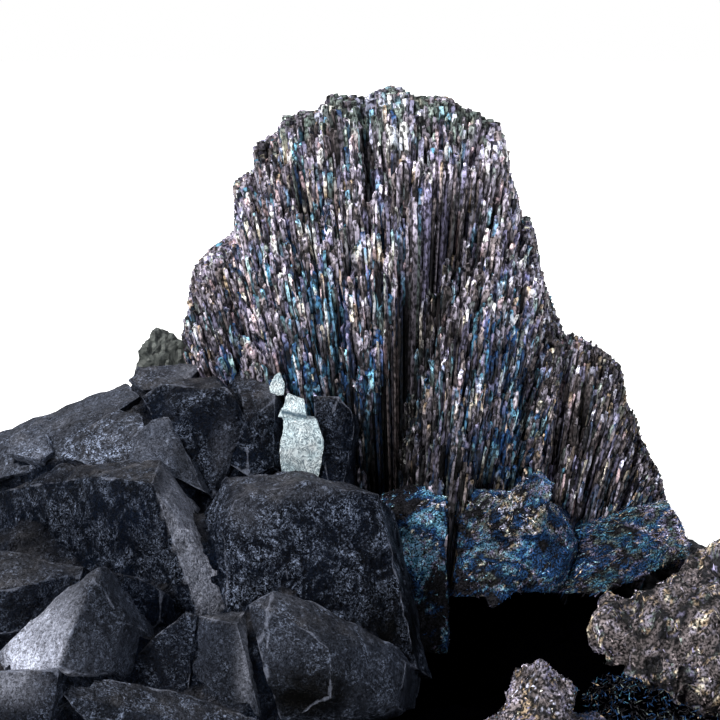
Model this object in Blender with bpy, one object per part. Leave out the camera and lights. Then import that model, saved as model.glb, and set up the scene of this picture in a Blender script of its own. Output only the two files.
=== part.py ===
"""Berthierite specimen: two sprays of columnar crystals standing on dark matrix, with a cluster
of thick tablets at the left and granular crusts at the right.

Metres, +Z up, +X to the right and -Y to the front. The lists below are in millimetres, from the
tall spray's own axes, and hull() turns them to metres. At the end every piece moves by
ORIGIN_SHIFT, which brings the origin under the middle of the whole specimen, on its sawn foot."""

import math

import bmesh
import bpy
import numpy as np
from mathutils import Matrix, Vector

MM = 0.001
GAP = 0.36                 # clearance between neighbouring pieces
ORIGIN_SHIFT = (0.6, 9.1)  # from the tall spray's own axes to the middle of the specimen
FOOT_CLEAR = 3.0           # pieces and the pit stop this far above the foot

# ---------------------------------------------------------------- driving dimensions (mm)
# The matrix: rock lumps (centre, half sizes, seed), all sawn flat at the foot, and the pit that
# opens between the granular crusts.
MATRIX_LUMPS = [
    ((4, 9, 5), (36, 29, 18), 1),
    ((-30, 4, 5), (29, 30, 20), 2),
    ((-30, -28, 3), (27, 22, 11), 3),
    ((-12, -29, 4), (20, 20, 11), 4),
    ((35, 8, 4), (25, 27, 13), 15),
    ((40, -22, 3), (21, 21, 8), 6),
    ((10, -38, 2), (26, 12, 6), 8),
    ((15, -18, 0), (20, 20, 3), 7),
]
MATRIX_PIT = ((16.5, -19, 9.5), (10.5, 13, 8), 9)

# The tall spray: columns radiate from a pole far below the foot. Angles are degrees from
# vertical, positive to the right; radii are measured from the pole.
TALL_POLE = (5.4, -31.4)
TALL_FOOT = 54.0
TALL_RIM = [(-20.3, 80), (-17.2, 87), (-13.4, 90), (-12.3, 96.5), (-10.2, 100.4), (-8, 103),
            (-4, 104.6), (-0.9, 105.2), (1.8, 103.6), (5, 103), (7.2, 99), (8.4, 93),
            (10.2, 89.4), (13.1, 81.4), (15.9, 76.5)]
TALL_RIDGE_Y = 8.0
TALL_FRONT = 16.5          # depth from the ridge to the front foot
TALL_BACK = 18.5
BUTTRESS = {"angle": 5.8, "spread": 3.6, "depth": 6.0, "top": 84.0}
VALLEY = {"low": (-1.5, 62.0), "high": (3.9, 89.0), "depth": 5.5, "spread": 2.6}
TALL_PITCH = (2.65, 4.2)   # degrees between columns, millimetres between rows
TALL_DEPTHS = (-13.0, 27.0)
TALL_TIER = 1.6            # how far a column's tip strays up or down
# The mass that the columns rise from: ranges of angle, radius and depth.
TALL_FEET = [((-19.5, 15.5), (47, 56.5), (-7, 25)), ((4, 15), (46, 56.5), (-12.5, 10))]

# The right spray.
RIGHT_POLE = (19.0, -16.0)
RIGHT_FOOT = 33.0
RIGHT_RIM = [(1.5, 60.8), (4.7, 60.8), (6.7, 58.9), (10.8, 58.0), (14.8, 56.2), (16.8, 51.8),
             (19.2, 50.2), (21.4, 47.4), (25.9, 44.7), (28.3, 42.6), (29.7, 40.6)]
RIGHT_RIDGE_Y = 4.0
RIGHT_FRONT = 11.0
RIGHT_BACK = 12.0
RIGHT_PITCH = (4.3, 4.5)
RIGHT_DEPTHS = (-6.5, 16.0)
RIGHT_TIER = 0.9
RIGHT_FEET = [((3, 29.5), (28, 36), (-5.5, 14))]

# Tablets: the corners of each crystal's front, and the shift to the same corners at its back.
TABLETS = {
    "broad_left": ([
        (-46, -8, 25), (-30.5, -21, 31), (-22.5, -28.5, 32.5), (-21.5, -29.5, 27),
        (-21, -30.5, 22.5), (-17.5, -32, 19), (-13.5, -30, 17), (-13, -28, 19),
        (-20.5, -23.5, 30), (-35, -14, 30.5), (-22.5, -21.5, 33), (-46, -10, 16),
        (-21.5, -31, 13), (-43.5, -14, 6)], (3, 12, -6)),
    "broad_right": ([
        (-13.5, -29, 30.5), (-11.5, -29, 31.5), (-6, -28, 32.5), (2, -25, 30),
        (2.5, -25, 27.5), (4.5, -27, 17), (6.5, -29, 11), (-14, -32, 12), (-15, -29.5, 27),
        (-13, -31.5, 20.5), (-18, -24, 27), (-15, -23, 31.5), (-9, -30.5, 30.5),
        (-7.5, -33.5, 21.5), (-7.5, -23.5, 32.5), (-0.5, -21.5, 30)], (2, 9, -5)),
    "low_centre": ([
        (-11.5, -38, 22), (-9, -37.5, 23.5), (-5.5, -36.5, 22), (-2, -35.5, 19.5),
        (3.5, -34, 16), (5, -34, 14), (-9.5, -41, 22.5), (-5, -41.5, 20.5),
        (-3, -42, 18.5), (4, -38, 10.5), (2, -39, 10), (-3, -43, 14), (-9.5, -43, 16),
        (-10.5, -41.5, 19), (-8, -42, 10.5)], (2, 11, -6)),
    "upright_blade": ([
        (-17, -38, 21), (-12.5, -42, 21.5), (-11, -43.5, 16), (-10, -44, 12),
        (-17.5, -41, 14.5), (-17.5, -42, 10), (-12, -37, 21), (-11, -38.5, 19)
        ], (1, 9, -5)),
    "left_triangle": ([
        (-25.5, -42, 16), (-20.5, -40, 20), (-18, -38.5, 21.5), (-17, -38.5, 21),
        (-17.5, -41.5, 15), (-17.5, -42, 12.5), (-25.5, -43, 13)], (2, 9, -6)),
    "pyramid": ([
        (-26.5, -40, 27), (-28.5, -40.5, 26), (-34.5, -43, 21), (-37, -43, 18.5),
        (-35, -46, 16.5), (-27, -43.5, 26.5), (-28.5, -48, 22.5), (-29.5, -49.5, 20),
        (-26, -43, 26), (-23.5, -43, 22), (-25, -46, 17.5), (-28, -49, 19)], (4, 11, -7)),
    "wedge": ([
        (-41, -29, 25.5), (-39, -30, 25.5), (-29.5, -33, 24.5), (-29.5, -34, 24),
        (-36, -37, 23.5), (-39, -37, 23), (-31.5, -36, 19), (-39, -38, 18.5)], (3, 10, -6)),
    "dark_fin": ([
        (-27, -37.5, 26), (-23, -36, 24.5), (-21, -35, 22.5), (-21, -36, 19.5),
        (-24.5, -38, 17.5), (-25.5, -40, 14.5), (-26.5, -39.5, 23.5)], (3, 10, -7)),
    "front_strip": ([
        (-29.5, -47, 18), (-24.5, -46, 17), (-18.5, -45, 15.5), (-10.5, -45, 12.5),
        (-11.5, -47, 11.5), (-27, -50, 15), (-29, -49.5, 17)], (1, 9, -6)),
    "foot_block": ([
        (-37, -47, 18.5), (-34, -49, 18), (-29.5, -49, 19.5), (-29.5, -50.5, 18),
        (-30, -51.5, 15), (-36.5, -50, 14.5)], (3, 11, -5)),
    "rear_block": ([
        (-26.5, -9, 37.5), (-23.5, -9.5, 39), (-16, -11, 39), (-14.5, -12, 37.5),
        (-13.5, -12.5, 35), (-16, -15, 31), (-17, -17, 28), (-23, -14, 34.5),
        (-21, -16, 31), (-18, -19, 23.5), (-21.5, -6, 39), (-17.5, -6, 39.5)], (2, 10, -5)),
    "rear_block_right": ([
        (-14, -10, 37.5), (-10, -9.5, 37.5), (-11.5, -3, 39), (-16, -3, 39.5),
        (-10, -13, 32), (-10, -14, 30), (-13, -15.5, 29.5), (-16, -14.5, 31),
        (-13.5, -13, 35)], (2, 9, -5)),
    "smooth_slope": ([
        (-24.5, -13, 35.5), (-22.5, -13, 36), (-22.5, -14, 34.5), (-21, -16, 32.5),
        (-19, -18.5, 29.5), (-17.5, -19.5, 28.5), (-22, -20, 31), (-26.5, -18, 32),
        (-26.5, -15.5, 34)], (2, 9, -5)),
    "rough_slope": ([
        (-35.5, -14, 31.5), (-33.5, -11, 34), (-29, -9, 36), (-26, -10, 35.5),
        (-25.5, -14.5, 33.5), (-26.5, -17, 31.5), (-31.5, -16, 31)], (2, 9, -6)),
    "left_roof": ([
        (-46.5, -4, 30.5), (-45, -3, 31), (-42.5, -2, 32.5), (-37, -1, 34), (-33.5, 0, 35.5),
        (-29.5, 1, 37), (-27, -5, 36.5), (-30, -8.5, 35), (-36, -8.5, 33.5),
        (-45, -12, 27.5), (-35.5, -13, 30.5)], (2, 10, -7)),
    "pale_patch": ([
        (-42.5, -9.5, 32.5), (-40.5, -8.5, 33.5), (-37.5, -9.5, 33), (-36.5, -12.5, 31.5),
        (-37.5, -14.5, 31), (-41.5, -13, 31.5)], (2, 8, -6)),
    "small_roof": ([
        (-28.5, -3, 38), (-28, 1, 39), (-25, -1, 39), (-22.5, 0, 39), (-19.5, 0, 39.5),
        (-21.5, -6, 38), (-26.5, -6, 37.5)], (1, 8, -6)),
    "shoulder": ([
        (-5.5, -9, 37.5), (-2.5, -10, 37.5), (-1, -10.5, 36), (-0.5, -11, 34.5),
        (-2, -13, 32.5), (-2, -15, 28), (-3.5, -16, 28), (-5, -13.5, 33), (-2.5, -15, 18),
        (-4.5, -16.5, 18.5)], (1, 9, -4)),
    "far_left": ([
        (-57, -8, 22), (-52.5, -12, 25.5), (-48, -20, 24.5), (-48.5, -25, 18),
        (-53.5, -27, 7.5), (-62, -11, 7.5)], (4, 2.5, -2)),
    "far_left_low": ([
        (-57, -25.5, 14), (-51, -28.5, 17), (-46.5, -35.5, 15.5), (-47.5, -40, 10.5),
        (-50.5, -41.5, 5.5), (-61, -29.5, 5.5)], (2.5, 2, -2.5)),
    "left_rear": ([
        (-48.5, 18, 20), (-48, 11.5, 25.5), (-50.5, 0.5, 26.5), (-54.5, -5.5, 21),
        (-60, -4, 9.5), (-53.5, 19, 9.5)], (5.5, -1.5, -2.5)),
    "back_left": ([
        (-24.5, 24, 21), (-30.5, 20, 25.5), (-41.5, 17.5, 24.5), (-48, 19, 19.5),
        (-48.5, 25, 9), (-27, 30.5, 9)], (1, -4, -2.5)),
}

# The mass of crystal that the tablets grow from, hidden among them.
TABLET_ROOTS = [((-20, -30, 8.5), (17, 13, 7.5), 24), ((-33, -14, 16), (17, 12, 11), 25),
                ((-44, -18, 11), (10, 14, 8), 26), ((-40, 8, 14), (12, 12, 8), 27),
                ((-8, -16, 17), (9, 7, 12), 28), ((-30, -40, 8.5), (9, 10, 7), 29),
                ((-16, -40, 7), (12, 8, 6), 30), ((-20, -7, 26), (9, 8, 10), 35)]

# The silver crystal: its upright body and the wedge that caps it.
SILVER = [
    [(-9.2, -15.2, 29.8), (-4.6, -15.0, 29.8), (-9.4, -15.6, 32.4), (-4.2, -15.2, 33.8),
     (-8.9, -15.0, 36.0), (-5.0, -15.0, 36.0), (-8.2, -14.4, 27.0), (-5.6, -14.2, 27.0),
     (-8.8, -11.5, 29.5), (-5.0, -11.5, 29.5), (-8.6, -11.5, 36.0), (-5.4, -11.5, 35.6)],
    [(-9.5, -14.8, 36.4), (-6.2, -14.9, 36.4), (-8.4, -14.0, 39.0), (-6.6, -14.0, 38.3),
     (-8.6, -14.2, 35.4), (-6.4, -14.2, 35.4), (-9.0, -11.8, 36.2), (-6.4, -11.8, 36.2)],
]
REAR_CRYSTAL = [(-28.6, 4, 17), (-20.6, 4, 17), (-27.4, 9, 17), (-21.4, 9, 17), (-28.8, 3.2, 37),
                (-27.6, 2.8, 41.2), (-25.9, 3.8, 43.4), (-24.4, 5.0, 43.0), (-21.4, 4.4, 40.4),
                (-20.6, 7.5, 37.5), (-26.5, 8.2, 41.2)]

BLUE_BLOCKS = [
    [(2.0, -9, 8), (2.4, -16.5, 9), (10.4, -17.5, 8), (10.6, -9, 8), (2.6, -14.5, 25.2),
     (5.5, -15.2, 26.0), (10.4, -14.6, 26.0), (9.6, -9, 27.0), (2.6, -9, 25.5)],
    [(9.2, -8, 13), (11.4, -15.5, 14.5), (22.5, -15.8, 15.2), (27, -7, 14), (11.6, -14.6, 24.0),
     (14.8, -14.2, 27.0), (21.5, -13.4, 25.8), (25.8, -12.6, 20.2), (9.2, -6, 26.4), (26, -4, 22)],
    [(14.4, -15.8, 21.6), (15.6, -16.6, 25.4), (19.8, -15.8, 29.4), (22.6, -14.8, 28.2),
     (21.4, -16.4, 22.6), (15, -8, 22), (22, -8, 28), (21, -8, 22)],
    [(12.6, -17.0, 19.6), (18.5, -17.4, 19.2), (15.4, -18.4, 13.8), (20.5, -16.4, 17.0),
     (13, -9, 19), (20.5, -9, 19.5), (16.4, -10, 15.5)],
]
LEDGE = [
    [(21.8, -14.2, 14.2), (28.4, -14.0, 14.0), (34.2, -12.0, 15.4), (40.8, -7.6, 18.0),
     (40.2, -5.4, 20.4), (38.6, -4.6, 22.6), (36.4, -5.4, 22.7), (30.2, -8.0, 21.6),
     (23.8, -10.2, 20.0), (24, 6, 14), (39.6, 8, 16), (38, 7, 21), (26, 6, 19)],
    [(30, 4, 12), (43, 0, 12), (44.5, 12, 11), (32, 18, 11), (40.8, 0.5, 17.2), (41, 11, 17),
     (31, 14, 19)],
]
BROWN_LUMPS = [((42, -21, 10.5), (14.5, 10.5, 8.0), 31), ((50, -13, 10.0), (11, 12, 8.0), 32),
               ((33, -20.5, 12.0), (6.5, 6.5, 4.4), 33), ((44, -13.5, 15.0), (7.0, 6.0, 4.4), 34)]
# foot of each hanging tooth (x, y, z), length, width
BROWN_TEETH = [((31.5, -25.5, 11.0), 7.4, 3.4), ((35.0, -29.0, 9.6), 7.6, 3.8),
               ((39.5, -31.0, 9.6), 7.4, 3.6), ((44.0, -30.6, 9.4), 7.6, 3.8),
               ((48.8, -27.6, 9.6), 7.2, 3.6)]
FRONT_LUMPS = [((18.8, -36, 8.4), (4.6, 5.2, 6.9), 41), ((18, -37.5, 4.6), (9.0, 8.0, 6.4), 42),
               ((11.5, -37.5, 4.2), (6.0, 6.5, 5.4), 43), ((24, -37, 4.4), (5.0, 7.0, 5.2), 44)]

# ---------------------------------------------------------------- finishes
FINISHES = {                 # base colour, roughness, metallic
    "matrix_rock": ((0.020, 0.021, 0.025), 0.75, 0.0),
    "tarnished_columns": ((0.10, 0.11, 0.15), 0.35, 0.9),
    "blue_tarnish": ((0.03, 0.08, 0.16), 0.5, 0.7),
    "dark_tablet": ((0.04, 0.043, 0.05), 0.4, 0.6),
    "bright_crystal": ((0.55, 0.62, 0.66), 0.25, 0.9),
    "grey_crystal": ((0.10, 0.11, 0.10), 0.5, 0.4),
    "brown_crust": ((0.16, 0.13, 0.11), 0.8, 0.1),
}


def finish(name):
    """The named Principled material, made once."""
    if name in bpy.data.materials:
        return bpy.data.materials[name]
    colour, roughness, metallic = FINISHES[name]
    material = bpy.data.materials.new(name)
    material.use_nodes = True
    shader = material.node_tree.nodes["Principled BSDF"]
    shader.inputs["Base Color"].default_value = (*colour, 1.0)
    shader.inputs["Roughness"].default_value = roughness
    shader.inputs["Metallic"].default_value = metallic
    return material


# ---------------------------------------------------------------- convex chunks
def hull(points):
    """Convex solid around points given in millimetres."""
    bm = bmesh.new()
    for point in points:
        bm.verts.new(Vector(point) * MM)
    bmesh.ops.convex_hull(bm, input=bm.verts)
    loose = [vert for vert in bm.verts if not vert.link_faces]
    bmesh.ops.delete(bm, geom=loose, context="VERTS")
    bmesh.ops.dissolve_limit(bm, angle_limit=math.radians(0.6), verts=bm.verts, edges=bm.edges)
    bmesh.ops.recalc_face_normals(bm, faces=bm.faces)
    mesh = bpy.data.meshes.new("chunk")
    bm.to_mesh(mesh)
    bm.free()
    return mesh


def grown(mesh, gap=GAP):
    """The same chunk with every face moved out by the gap."""
    bm = bmesh.new()
    bm.from_mesh(mesh)
    bm.normal_update()
    shifts = [vert.normal * min(vert.calc_shell_factor(), 2.5) * gap * MM for vert in bm.verts]
    for vert, shift in zip(bm.verts, shifts):
        vert.co += shift
    copy = bpy.data.meshes.new("grown")
    bm.to_mesh(copy)
    bm.free()
    return copy


def rock(centre, half, seed, corners=16, low=None):
    """Angular block: evenly spread directions on an ellipsoid, jittered, cut flat at `low`."""
    rng = np.random.default_rng(seed)
    index = np.arange(corners) + 0.5
    polar = np.arccos(1 - 2 * index / corners)
    around = index * math.pi * (1 + math.sqrt(5)) + rng.uniform(0, 6.28)
    away = np.stack([np.cos(around) * np.sin(polar), np.sin(around) * np.sin(polar),
                     np.cos(polar)], axis=1)
    points = np.array(centre) + away * np.array(half) * rng.uniform(0.84, 1.12, (corners, 1))
    if low is not None:
        points[:, 2] = np.maximum(points[:, 2], low)
    return hull(points)


def tablet(front, back):
    """Crystal between its front corners and the same corners shifted to its back."""
    corners = np.vstack([front, np.array(front) + back])
    corners[:, 2] = np.maximum(corners[:, 2], FOOT_CLEAR)
    return hull(corners)


# ---------------------------------------------------------------- columns of a spray
def rim(outline, angle):
    """Radius of the spray's outline at an angle, straight between its points."""
    angles, radii = zip(*outline)
    return np.interp(angle, angles, radii)


def dome(low, high, radius):
    """How far a face stands out from the ridge: 1 at the foot, rounding off to 0 at the rim."""
    rise = np.clip((radius - low) / (high - low), 0, 1)
    return (1 - rise ** 1.5) ** 0.45


def tall_front(angle, radius):
    """Depth (y) of the tall spray's front face, with its valley and its right buttress."""
    face = TALL_RIDGE_Y - TALL_FRONT * dome(TALL_FOOT, rim(TALL_RIM, angle), radius)
    (angle_low, radius_low), (angle_high, radius_high) = VALLEY["low"], VALLEY["high"]
    along = (radius - radius_low) / (radius_high - radius_low)
    line = angle_low + (angle_high - angle_low) * np.clip(along, 0, 1.15)
    fade = np.clip((1.25 - along) / 0.3, 0, 1)
    face = face + VALLEY["depth"] * fade * np.exp(-((angle - line) / VALLEY["spread"]) ** 2)
    bump = np.exp(-((angle - BUTTRESS["angle"]) / BUTTRESS["spread"]) ** 2)
    below = np.clip((BUTTRESS["top"] - radius) / 7 + 0.5, 0, 1)
    return face - BUTTRESS["depth"] * bump * below


def tall_back(angle, radius):
    """Depth of the tall spray's back face."""
    return TALL_RIDGE_Y + TALL_BACK * dome(TALL_FOOT, rim(TALL_RIM, angle), radius)


def right_front(angle, radius):
    """Depth of the right spray's front face."""
    return RIGHT_RIDGE_Y - RIGHT_FRONT * dome(RIGHT_FOOT, rim(RIGHT_RIM, angle), radius)


def right_back(angle, radius):
    """Depth of the right spray's back face."""
    return RIGHT_RIDGE_Y + RIGHT_BACK * dome(RIGHT_FOOT, rim(RIGHT_RIM, angle), radius)


def column(pole, angle, depth, low, top, half_across, half_deep, rng):
    """One column of a spray: an uneven five- or six-sided prism with a slanting tip."""
    sides = int(rng.integers(5, 7))
    turn = rng.uniform(0, 2 * math.pi)
    lean = math.radians(angle)
    axis = np.array([math.sin(lean), 0, math.cos(lean)])
    across = np.array([math.cos(lean), 0, -math.sin(lean)])
    start = np.array([pole[0], depth, pole[1]])
    slant = rng.uniform(-0.35, 0.35, 2) + np.array([0.0, 0.35])
    points = []
    for side in range(sides):
        around = turn + 2 * math.pi * side / sides
        aside = half_across * math.cos(around)
        away = half_deep * math.sin(around)
        edge = start + across * aside + np.array([0, away, 0])
        points.append(edge + axis * low)
        points.append(edge + axis * (top + aside * slant[0] + away * slant[1]))
    return hull(points)


def spray(pole, outline, foot, pitch, front, back, deep, seed, tier):
    """Every column of a spray, in staggered rows, each as tall as the faces let it be."""
    rng = np.random.default_rng(seed)
    radii = np.linspace(foot, max(radius for _, radius in outline), 120)
    step, row_step = pitch
    first, last = outline[0][0], outline[-1][0]
    columns = []
    for row, depth in enumerate(np.arange(deep[0], deep[1], row_step)):
        for angle in np.arange(first + step * (0.35 + 0.5 * (row % 2)), last, step):
            angle += rng.uniform(-0.18, 0.18) * step
            away = depth + rng.uniform(-0.2, 0.2) * row_step
            held = (front(angle, radii) <= away) & (away <= back(angle, radii))
            edge = min(rim(outline, angle - step / 2), rim(outline, angle + step / 2))
            held &= radii <= edge
            if not held.any():
                continue
            top = radii[held].max() + rng.uniform(-tier, tier * 0.5)
            if top < foot + 4.5:
                continue
            wide = math.radians(step) * (0.55 * top + 0.45 * foot) * 0.66
            columns.append(column(pole, angle, away, foot - 1.5, top, wide, row_step * 0.66, rng))
    return columns


def spray_foot(pole, angles, radii, depths):
    """The solid mass that a spray's columns rise from: a block bounded by two arcs."""
    points = []
    for angle in np.linspace(*angles, 7):
        lean = math.radians(angle)
        edge = 1 - 0.16 * abs(2 * (angle - angles[0]) / (angles[1] - angles[0]) - 1) ** 3
        middle = sum(depths) / 2
        for radius in radii:
            for depth in depths:
                points.append((pole[0] + radius * math.sin(lean), middle + (depth - middle) * edge,
                               pole[1] + radius * math.cos(lean)))
    return hull(points)


# ---------------------------------------------------------------- joining and cutting
def plain_object(name, mesh, collection):
    """An object for a mesh, in a collection."""
    thing = bpy.data.objects.new(name, mesh)
    collection.objects.link(thing)
    return thing


def boolean(mesh, others, operation):
    """The mesh joined with, or cut by, all the others at once."""
    tools = bpy.data.collections.new("tools")
    bpy.context.scene.collection.children.link(tools)
    for other in others:
        tool = plain_object("tool", other, tools)
        tool.hide_render = True
        tool.display_type = "WIRE"
    base = plain_object("base", mesh, bpy.context.scene.collection)
    step = base.modifiers.new("joint", "BOOLEAN")
    step.operand_type = "COLLECTION"
    step.collection = tools
    step.operation = operation
    step.solver = "EXACT"
    bpy.context.view_layer.update()
    seen = bpy.context.evaluated_depsgraph_get()
    result = bpy.data.meshes.new_from_object(base.evaluated_get(seen), depsgraph=seen)
    for thing in [base, *tools.objects]:
        bpy.data.objects.remove(thing)
    bpy.data.collections.remove(tools)
    return result


def main_body(mesh):
    """Keeps the largest connected body of a mesh and drops crumbs that a cut has freed."""
    bm = bmesh.new()
    bm.from_mesh(mesh)
    bmesh.ops.remove_doubles(bm, verts=bm.verts, dist=0.002 * MM)
    left = set(bm.verts)
    bodies = []
    while left:
        body, edge = set(), [left.pop()]
        while edge:
            vert = edge.pop()
            body.add(vert)
            for link in vert.link_edges:
                other = link.other_vert(vert)
                if other in left:
                    left.remove(other)
                    edge.append(other)
        bodies.append(body)
    largest = max(bodies, key=len)
    crumbs = [vert for body in bodies if body is not largest for vert in body]
    bmesh.ops.delete(bm, geom=crumbs, context="VERTS")
    bm.to_mesh(mesh)
    bm.free()
    return mesh


def piece(name, chunks, cutters, material, collection):
    """One node: its chunks joined, then cut back from its neighbours."""
    mesh = boolean(chunks[0], chunks[1:], "UNION") if len(chunks) > 1 else chunks[0]
    if cutters:
        mesh = boolean(mesh, cutters, "DIFFERENCE")
    mesh = main_body(mesh)
    mesh.materials.clear()
    mesh.materials.append(finish(material))
    return plain_object(name, mesh, collection)


def clearances(*groups):
    """Grown copies of every chunk in the groups, to cut a neighbour with."""
    return [grown(chunk) for group in groups for chunk in group]


def wrapped(meshes):
    """One grown convex room around several meshes."""
    return grown(hull([vert.co / MM for mesh in meshes for vert in mesh.vertices]))


# ---------------------------------------------------------------- the pieces
def tooth(foot, length, width, seed):
    """A hanging tooth of crust: a tapered prism that points down and forward."""
    rng = np.random.default_rng(seed)
    points = []
    lean = np.array([rng.uniform(-0.3, 0.1), -0.18, -1.0])
    for share, size in ((-0.35, 1.0), (0.35, 0.86), (1.0, 0.34)):
        for side in range(5):
            around = 2 * math.pi * side / 5 + seed
            off = np.array([math.cos(around), math.sin(around) * 0.8, 0]) * width * size / 2
            points.append(np.array(foot) + lean * length * share + off)
    return hull(points)


def build():
    """Makes every piece in the order in which one makes room for the next."""
    for thing in list(bpy.data.objects):
        bpy.data.objects.remove(thing)
    collection = bpy.data.collections.new("berthierite")
    bpy.context.scene.collection.children.link(collection)

    tablets = [tablet(*values) for values in TABLETS.values()]
    tablets += [rock(*values, low=FOOT_CLEAR) for values in TABLET_ROOTS]
    silver = [hull(points) for points in SILVER]
    rear = [hull(REAR_CRYSTAL)]
    blue = [hull(points) for points in BLUE_BLOCKS]
    ledge = [hull(points) for points in LEDGE]
    brown_mass = [rock(*values) for values in BROWN_LUMPS]
    teeth = [tooth(*values, seed) for seed, values in enumerate(BROWN_TEETH)]
    front = [rock(*values, corners=11, low=FOOT_CLEAR) for values in FRONT_LUMPS]
    tall = [spray_foot(TALL_POLE, *ranges) for ranges in TALL_FEET]
    tall += spray(TALL_POLE, TALL_RIM, TALL_FOOT, TALL_PITCH, tall_front, tall_back,
                  TALL_DEPTHS, 5, TALL_TIER)
    right = [spray_foot(RIGHT_POLE, *ranges) for ranges in RIGHT_FEET]
    right += spray(RIGHT_POLE, RIGHT_RIM, RIGHT_FOOT, RIGHT_PITCH, right_front, right_back,
                   RIGHT_DEPTHS, 6, RIGHT_TIER)
    lumps = [rock(*values, corners=18, low=0.0) for values in MATRIX_LUMPS]

    piece("silver_crystal", silver, [], "bright_crystal", collection)
    piece("rear_crystal", rear, [], "grey_crystal", collection)
    piece("tabular_crystals", tablets, clearances(silver, rear), "dark_tablet", collection)
    piece("ledge_bundle", ledge, clearances(blue), "blue_tarnish", collection)
    piece("blue_crust", blue, clearances(tablets), "blue_tarnish", collection)
    tall_thing = piece("tall_spray", tall, clearances(tablets, silver, rear, blue),
                       "tarnished_columns", collection)
    tall_room = wrapped([tall_thing.data])
    right_thing = piece("right_spray", right, [tall_room] + clearances(ledge, blue),
                        "tarnished_columns", collection)
    right_room = wrapped([right_thing.data])
    piece("brown_crust", brown_mass + teeth, clearances(ledge), "brown_crust", collection)
    piece("front_crust", front, clearances(tablets, brown_mass), "brown_crust", collection)
    rooms = [tall_room, right_room, wrapped(teeth), rock(*MATRIX_PIT, low=FOOT_CLEAR)]
    rooms += clearances(tablets, silver, rear, ledge, blue, brown_mass, front)
    piece("matrix", lumps, rooms, "matrix_rock", collection)
    for thing in collection.objects:
        thing.data.transform(Matrix.Translation(Vector((*ORIGIN_SHIFT, 0)) * MM))


build()
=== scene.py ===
import math

import bmesh
import bpy
import numpy as np
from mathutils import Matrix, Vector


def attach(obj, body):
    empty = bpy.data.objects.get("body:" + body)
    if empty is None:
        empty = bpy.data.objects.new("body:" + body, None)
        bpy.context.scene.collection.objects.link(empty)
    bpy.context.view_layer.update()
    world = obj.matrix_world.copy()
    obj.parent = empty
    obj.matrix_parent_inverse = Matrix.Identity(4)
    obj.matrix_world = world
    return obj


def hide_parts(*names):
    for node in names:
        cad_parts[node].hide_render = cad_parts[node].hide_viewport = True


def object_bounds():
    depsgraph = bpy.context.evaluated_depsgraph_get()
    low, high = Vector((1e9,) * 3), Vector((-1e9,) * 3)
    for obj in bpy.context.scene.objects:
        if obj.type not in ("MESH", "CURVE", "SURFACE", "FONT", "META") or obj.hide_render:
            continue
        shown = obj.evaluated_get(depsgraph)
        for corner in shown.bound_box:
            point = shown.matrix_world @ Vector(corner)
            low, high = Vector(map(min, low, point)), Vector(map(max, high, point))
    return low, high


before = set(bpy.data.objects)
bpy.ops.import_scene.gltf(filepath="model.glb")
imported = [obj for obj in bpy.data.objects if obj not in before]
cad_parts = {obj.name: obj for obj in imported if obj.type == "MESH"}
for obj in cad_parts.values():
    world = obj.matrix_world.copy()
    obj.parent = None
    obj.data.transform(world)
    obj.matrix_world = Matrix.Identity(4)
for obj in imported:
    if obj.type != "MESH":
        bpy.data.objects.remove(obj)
cad_low, cad_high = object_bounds()

# ---------------------------------------------------------------------------------------------
# Stage: a pale floor and backdrop, white where the camera sees them, and three soft windows: a
# strong one to the upper left and weak ones to the right and above. A long lens looks slightly
# down on the specimen's front.
MM = 0.001
SHIFT = np.array((0.6, 9.1, 0.0))          # from the model's own axes to the frame, in mm
TARGET = (SHIFT + (0, 0, 40)) * MM         # the middle of the view
CAMERA_DISTANCE = 0.200                    # m
CAMERA_RISE = math.radians(12)
LENS, SENSOR = 80, 36                      # mm
PAPER = "#f6f6f6"
FLOOR_HALF = 3.0                           # half the floor's width, m


def linear(code):
    """sRGB hex to linear colour: each channel through the sRGB curve."""
    value = np.array([int(code[i:i + 2], 16) for i in (1, 3, 5)]) / 255
    return np.where(value <= 0.04045, value / 12.92, ((value + 0.055) / 1.055) ** 2.4)


def feed(tree, made, **links):
    """Gives each named input of a node a value or a socket; in0 is the first input, and so on."""
    for key, value in links.items():
        name = key.replace("_", " ")
        socket = made.inputs[int(name[2:])] if name.startswith("in") else made.inputs[name]
        if isinstance(value, bpy.types.NodeSocket):
            tree.links.new(value, socket)
        else:
            socket.default_value = value


def node(tree, kind, settings=None, **links):
    """Adds a node. Settings are its own properties; links feed its inputs."""
    made = tree.nodes.new("ShaderNode" + kind)
    for key, value in (settings or {}).items():
        setattr(made, key, value)
    feed(tree, made, **links)
    return made


def new_material(name):
    """An empty node material and its Principled shader."""
    material = bpy.data.materials.new(name)
    material.use_nodes = True
    return material, material.node_tree, material.node_tree.nodes["Principled BSDF"]


camera = bpy.data.objects.new("camera", bpy.data.cameras.new("camera"))
camera.data.lens = LENS
camera.data.sensor_width = SENSOR
camera.data.clip_start = 0.005
away = np.array((0, -math.cos(CAMERA_RISE), math.sin(CAMERA_RISE)))
camera.location = TARGET + away * CAMERA_DISTANCE
camera.rotation_euler = (math.pi / 2 - CAMERA_RISE, 0, 0)
bpy.context.scene.collection.objects.link(camera)
bpy.context.scene.camera = camera
bpy.context.scene.view_settings.view_transform = "Standard"


def window(name, direction, strength, spread, tint):
    """Soft light from a direction, even over the whole floor; spread is its width in degrees."""
    light = bpy.data.lights.new(name, "SUN")
    light.energy = strength
    light.angle = math.radians(spread)
    light.color = tint
    thing = bpy.data.objects.new(name, light)
    side, front, up = direction
    thing.rotation_euler = (math.atan2(math.hypot(side, front), up), 0, math.atan2(side, -front))
    bpy.context.scene.collection.objects.link(thing)


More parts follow.
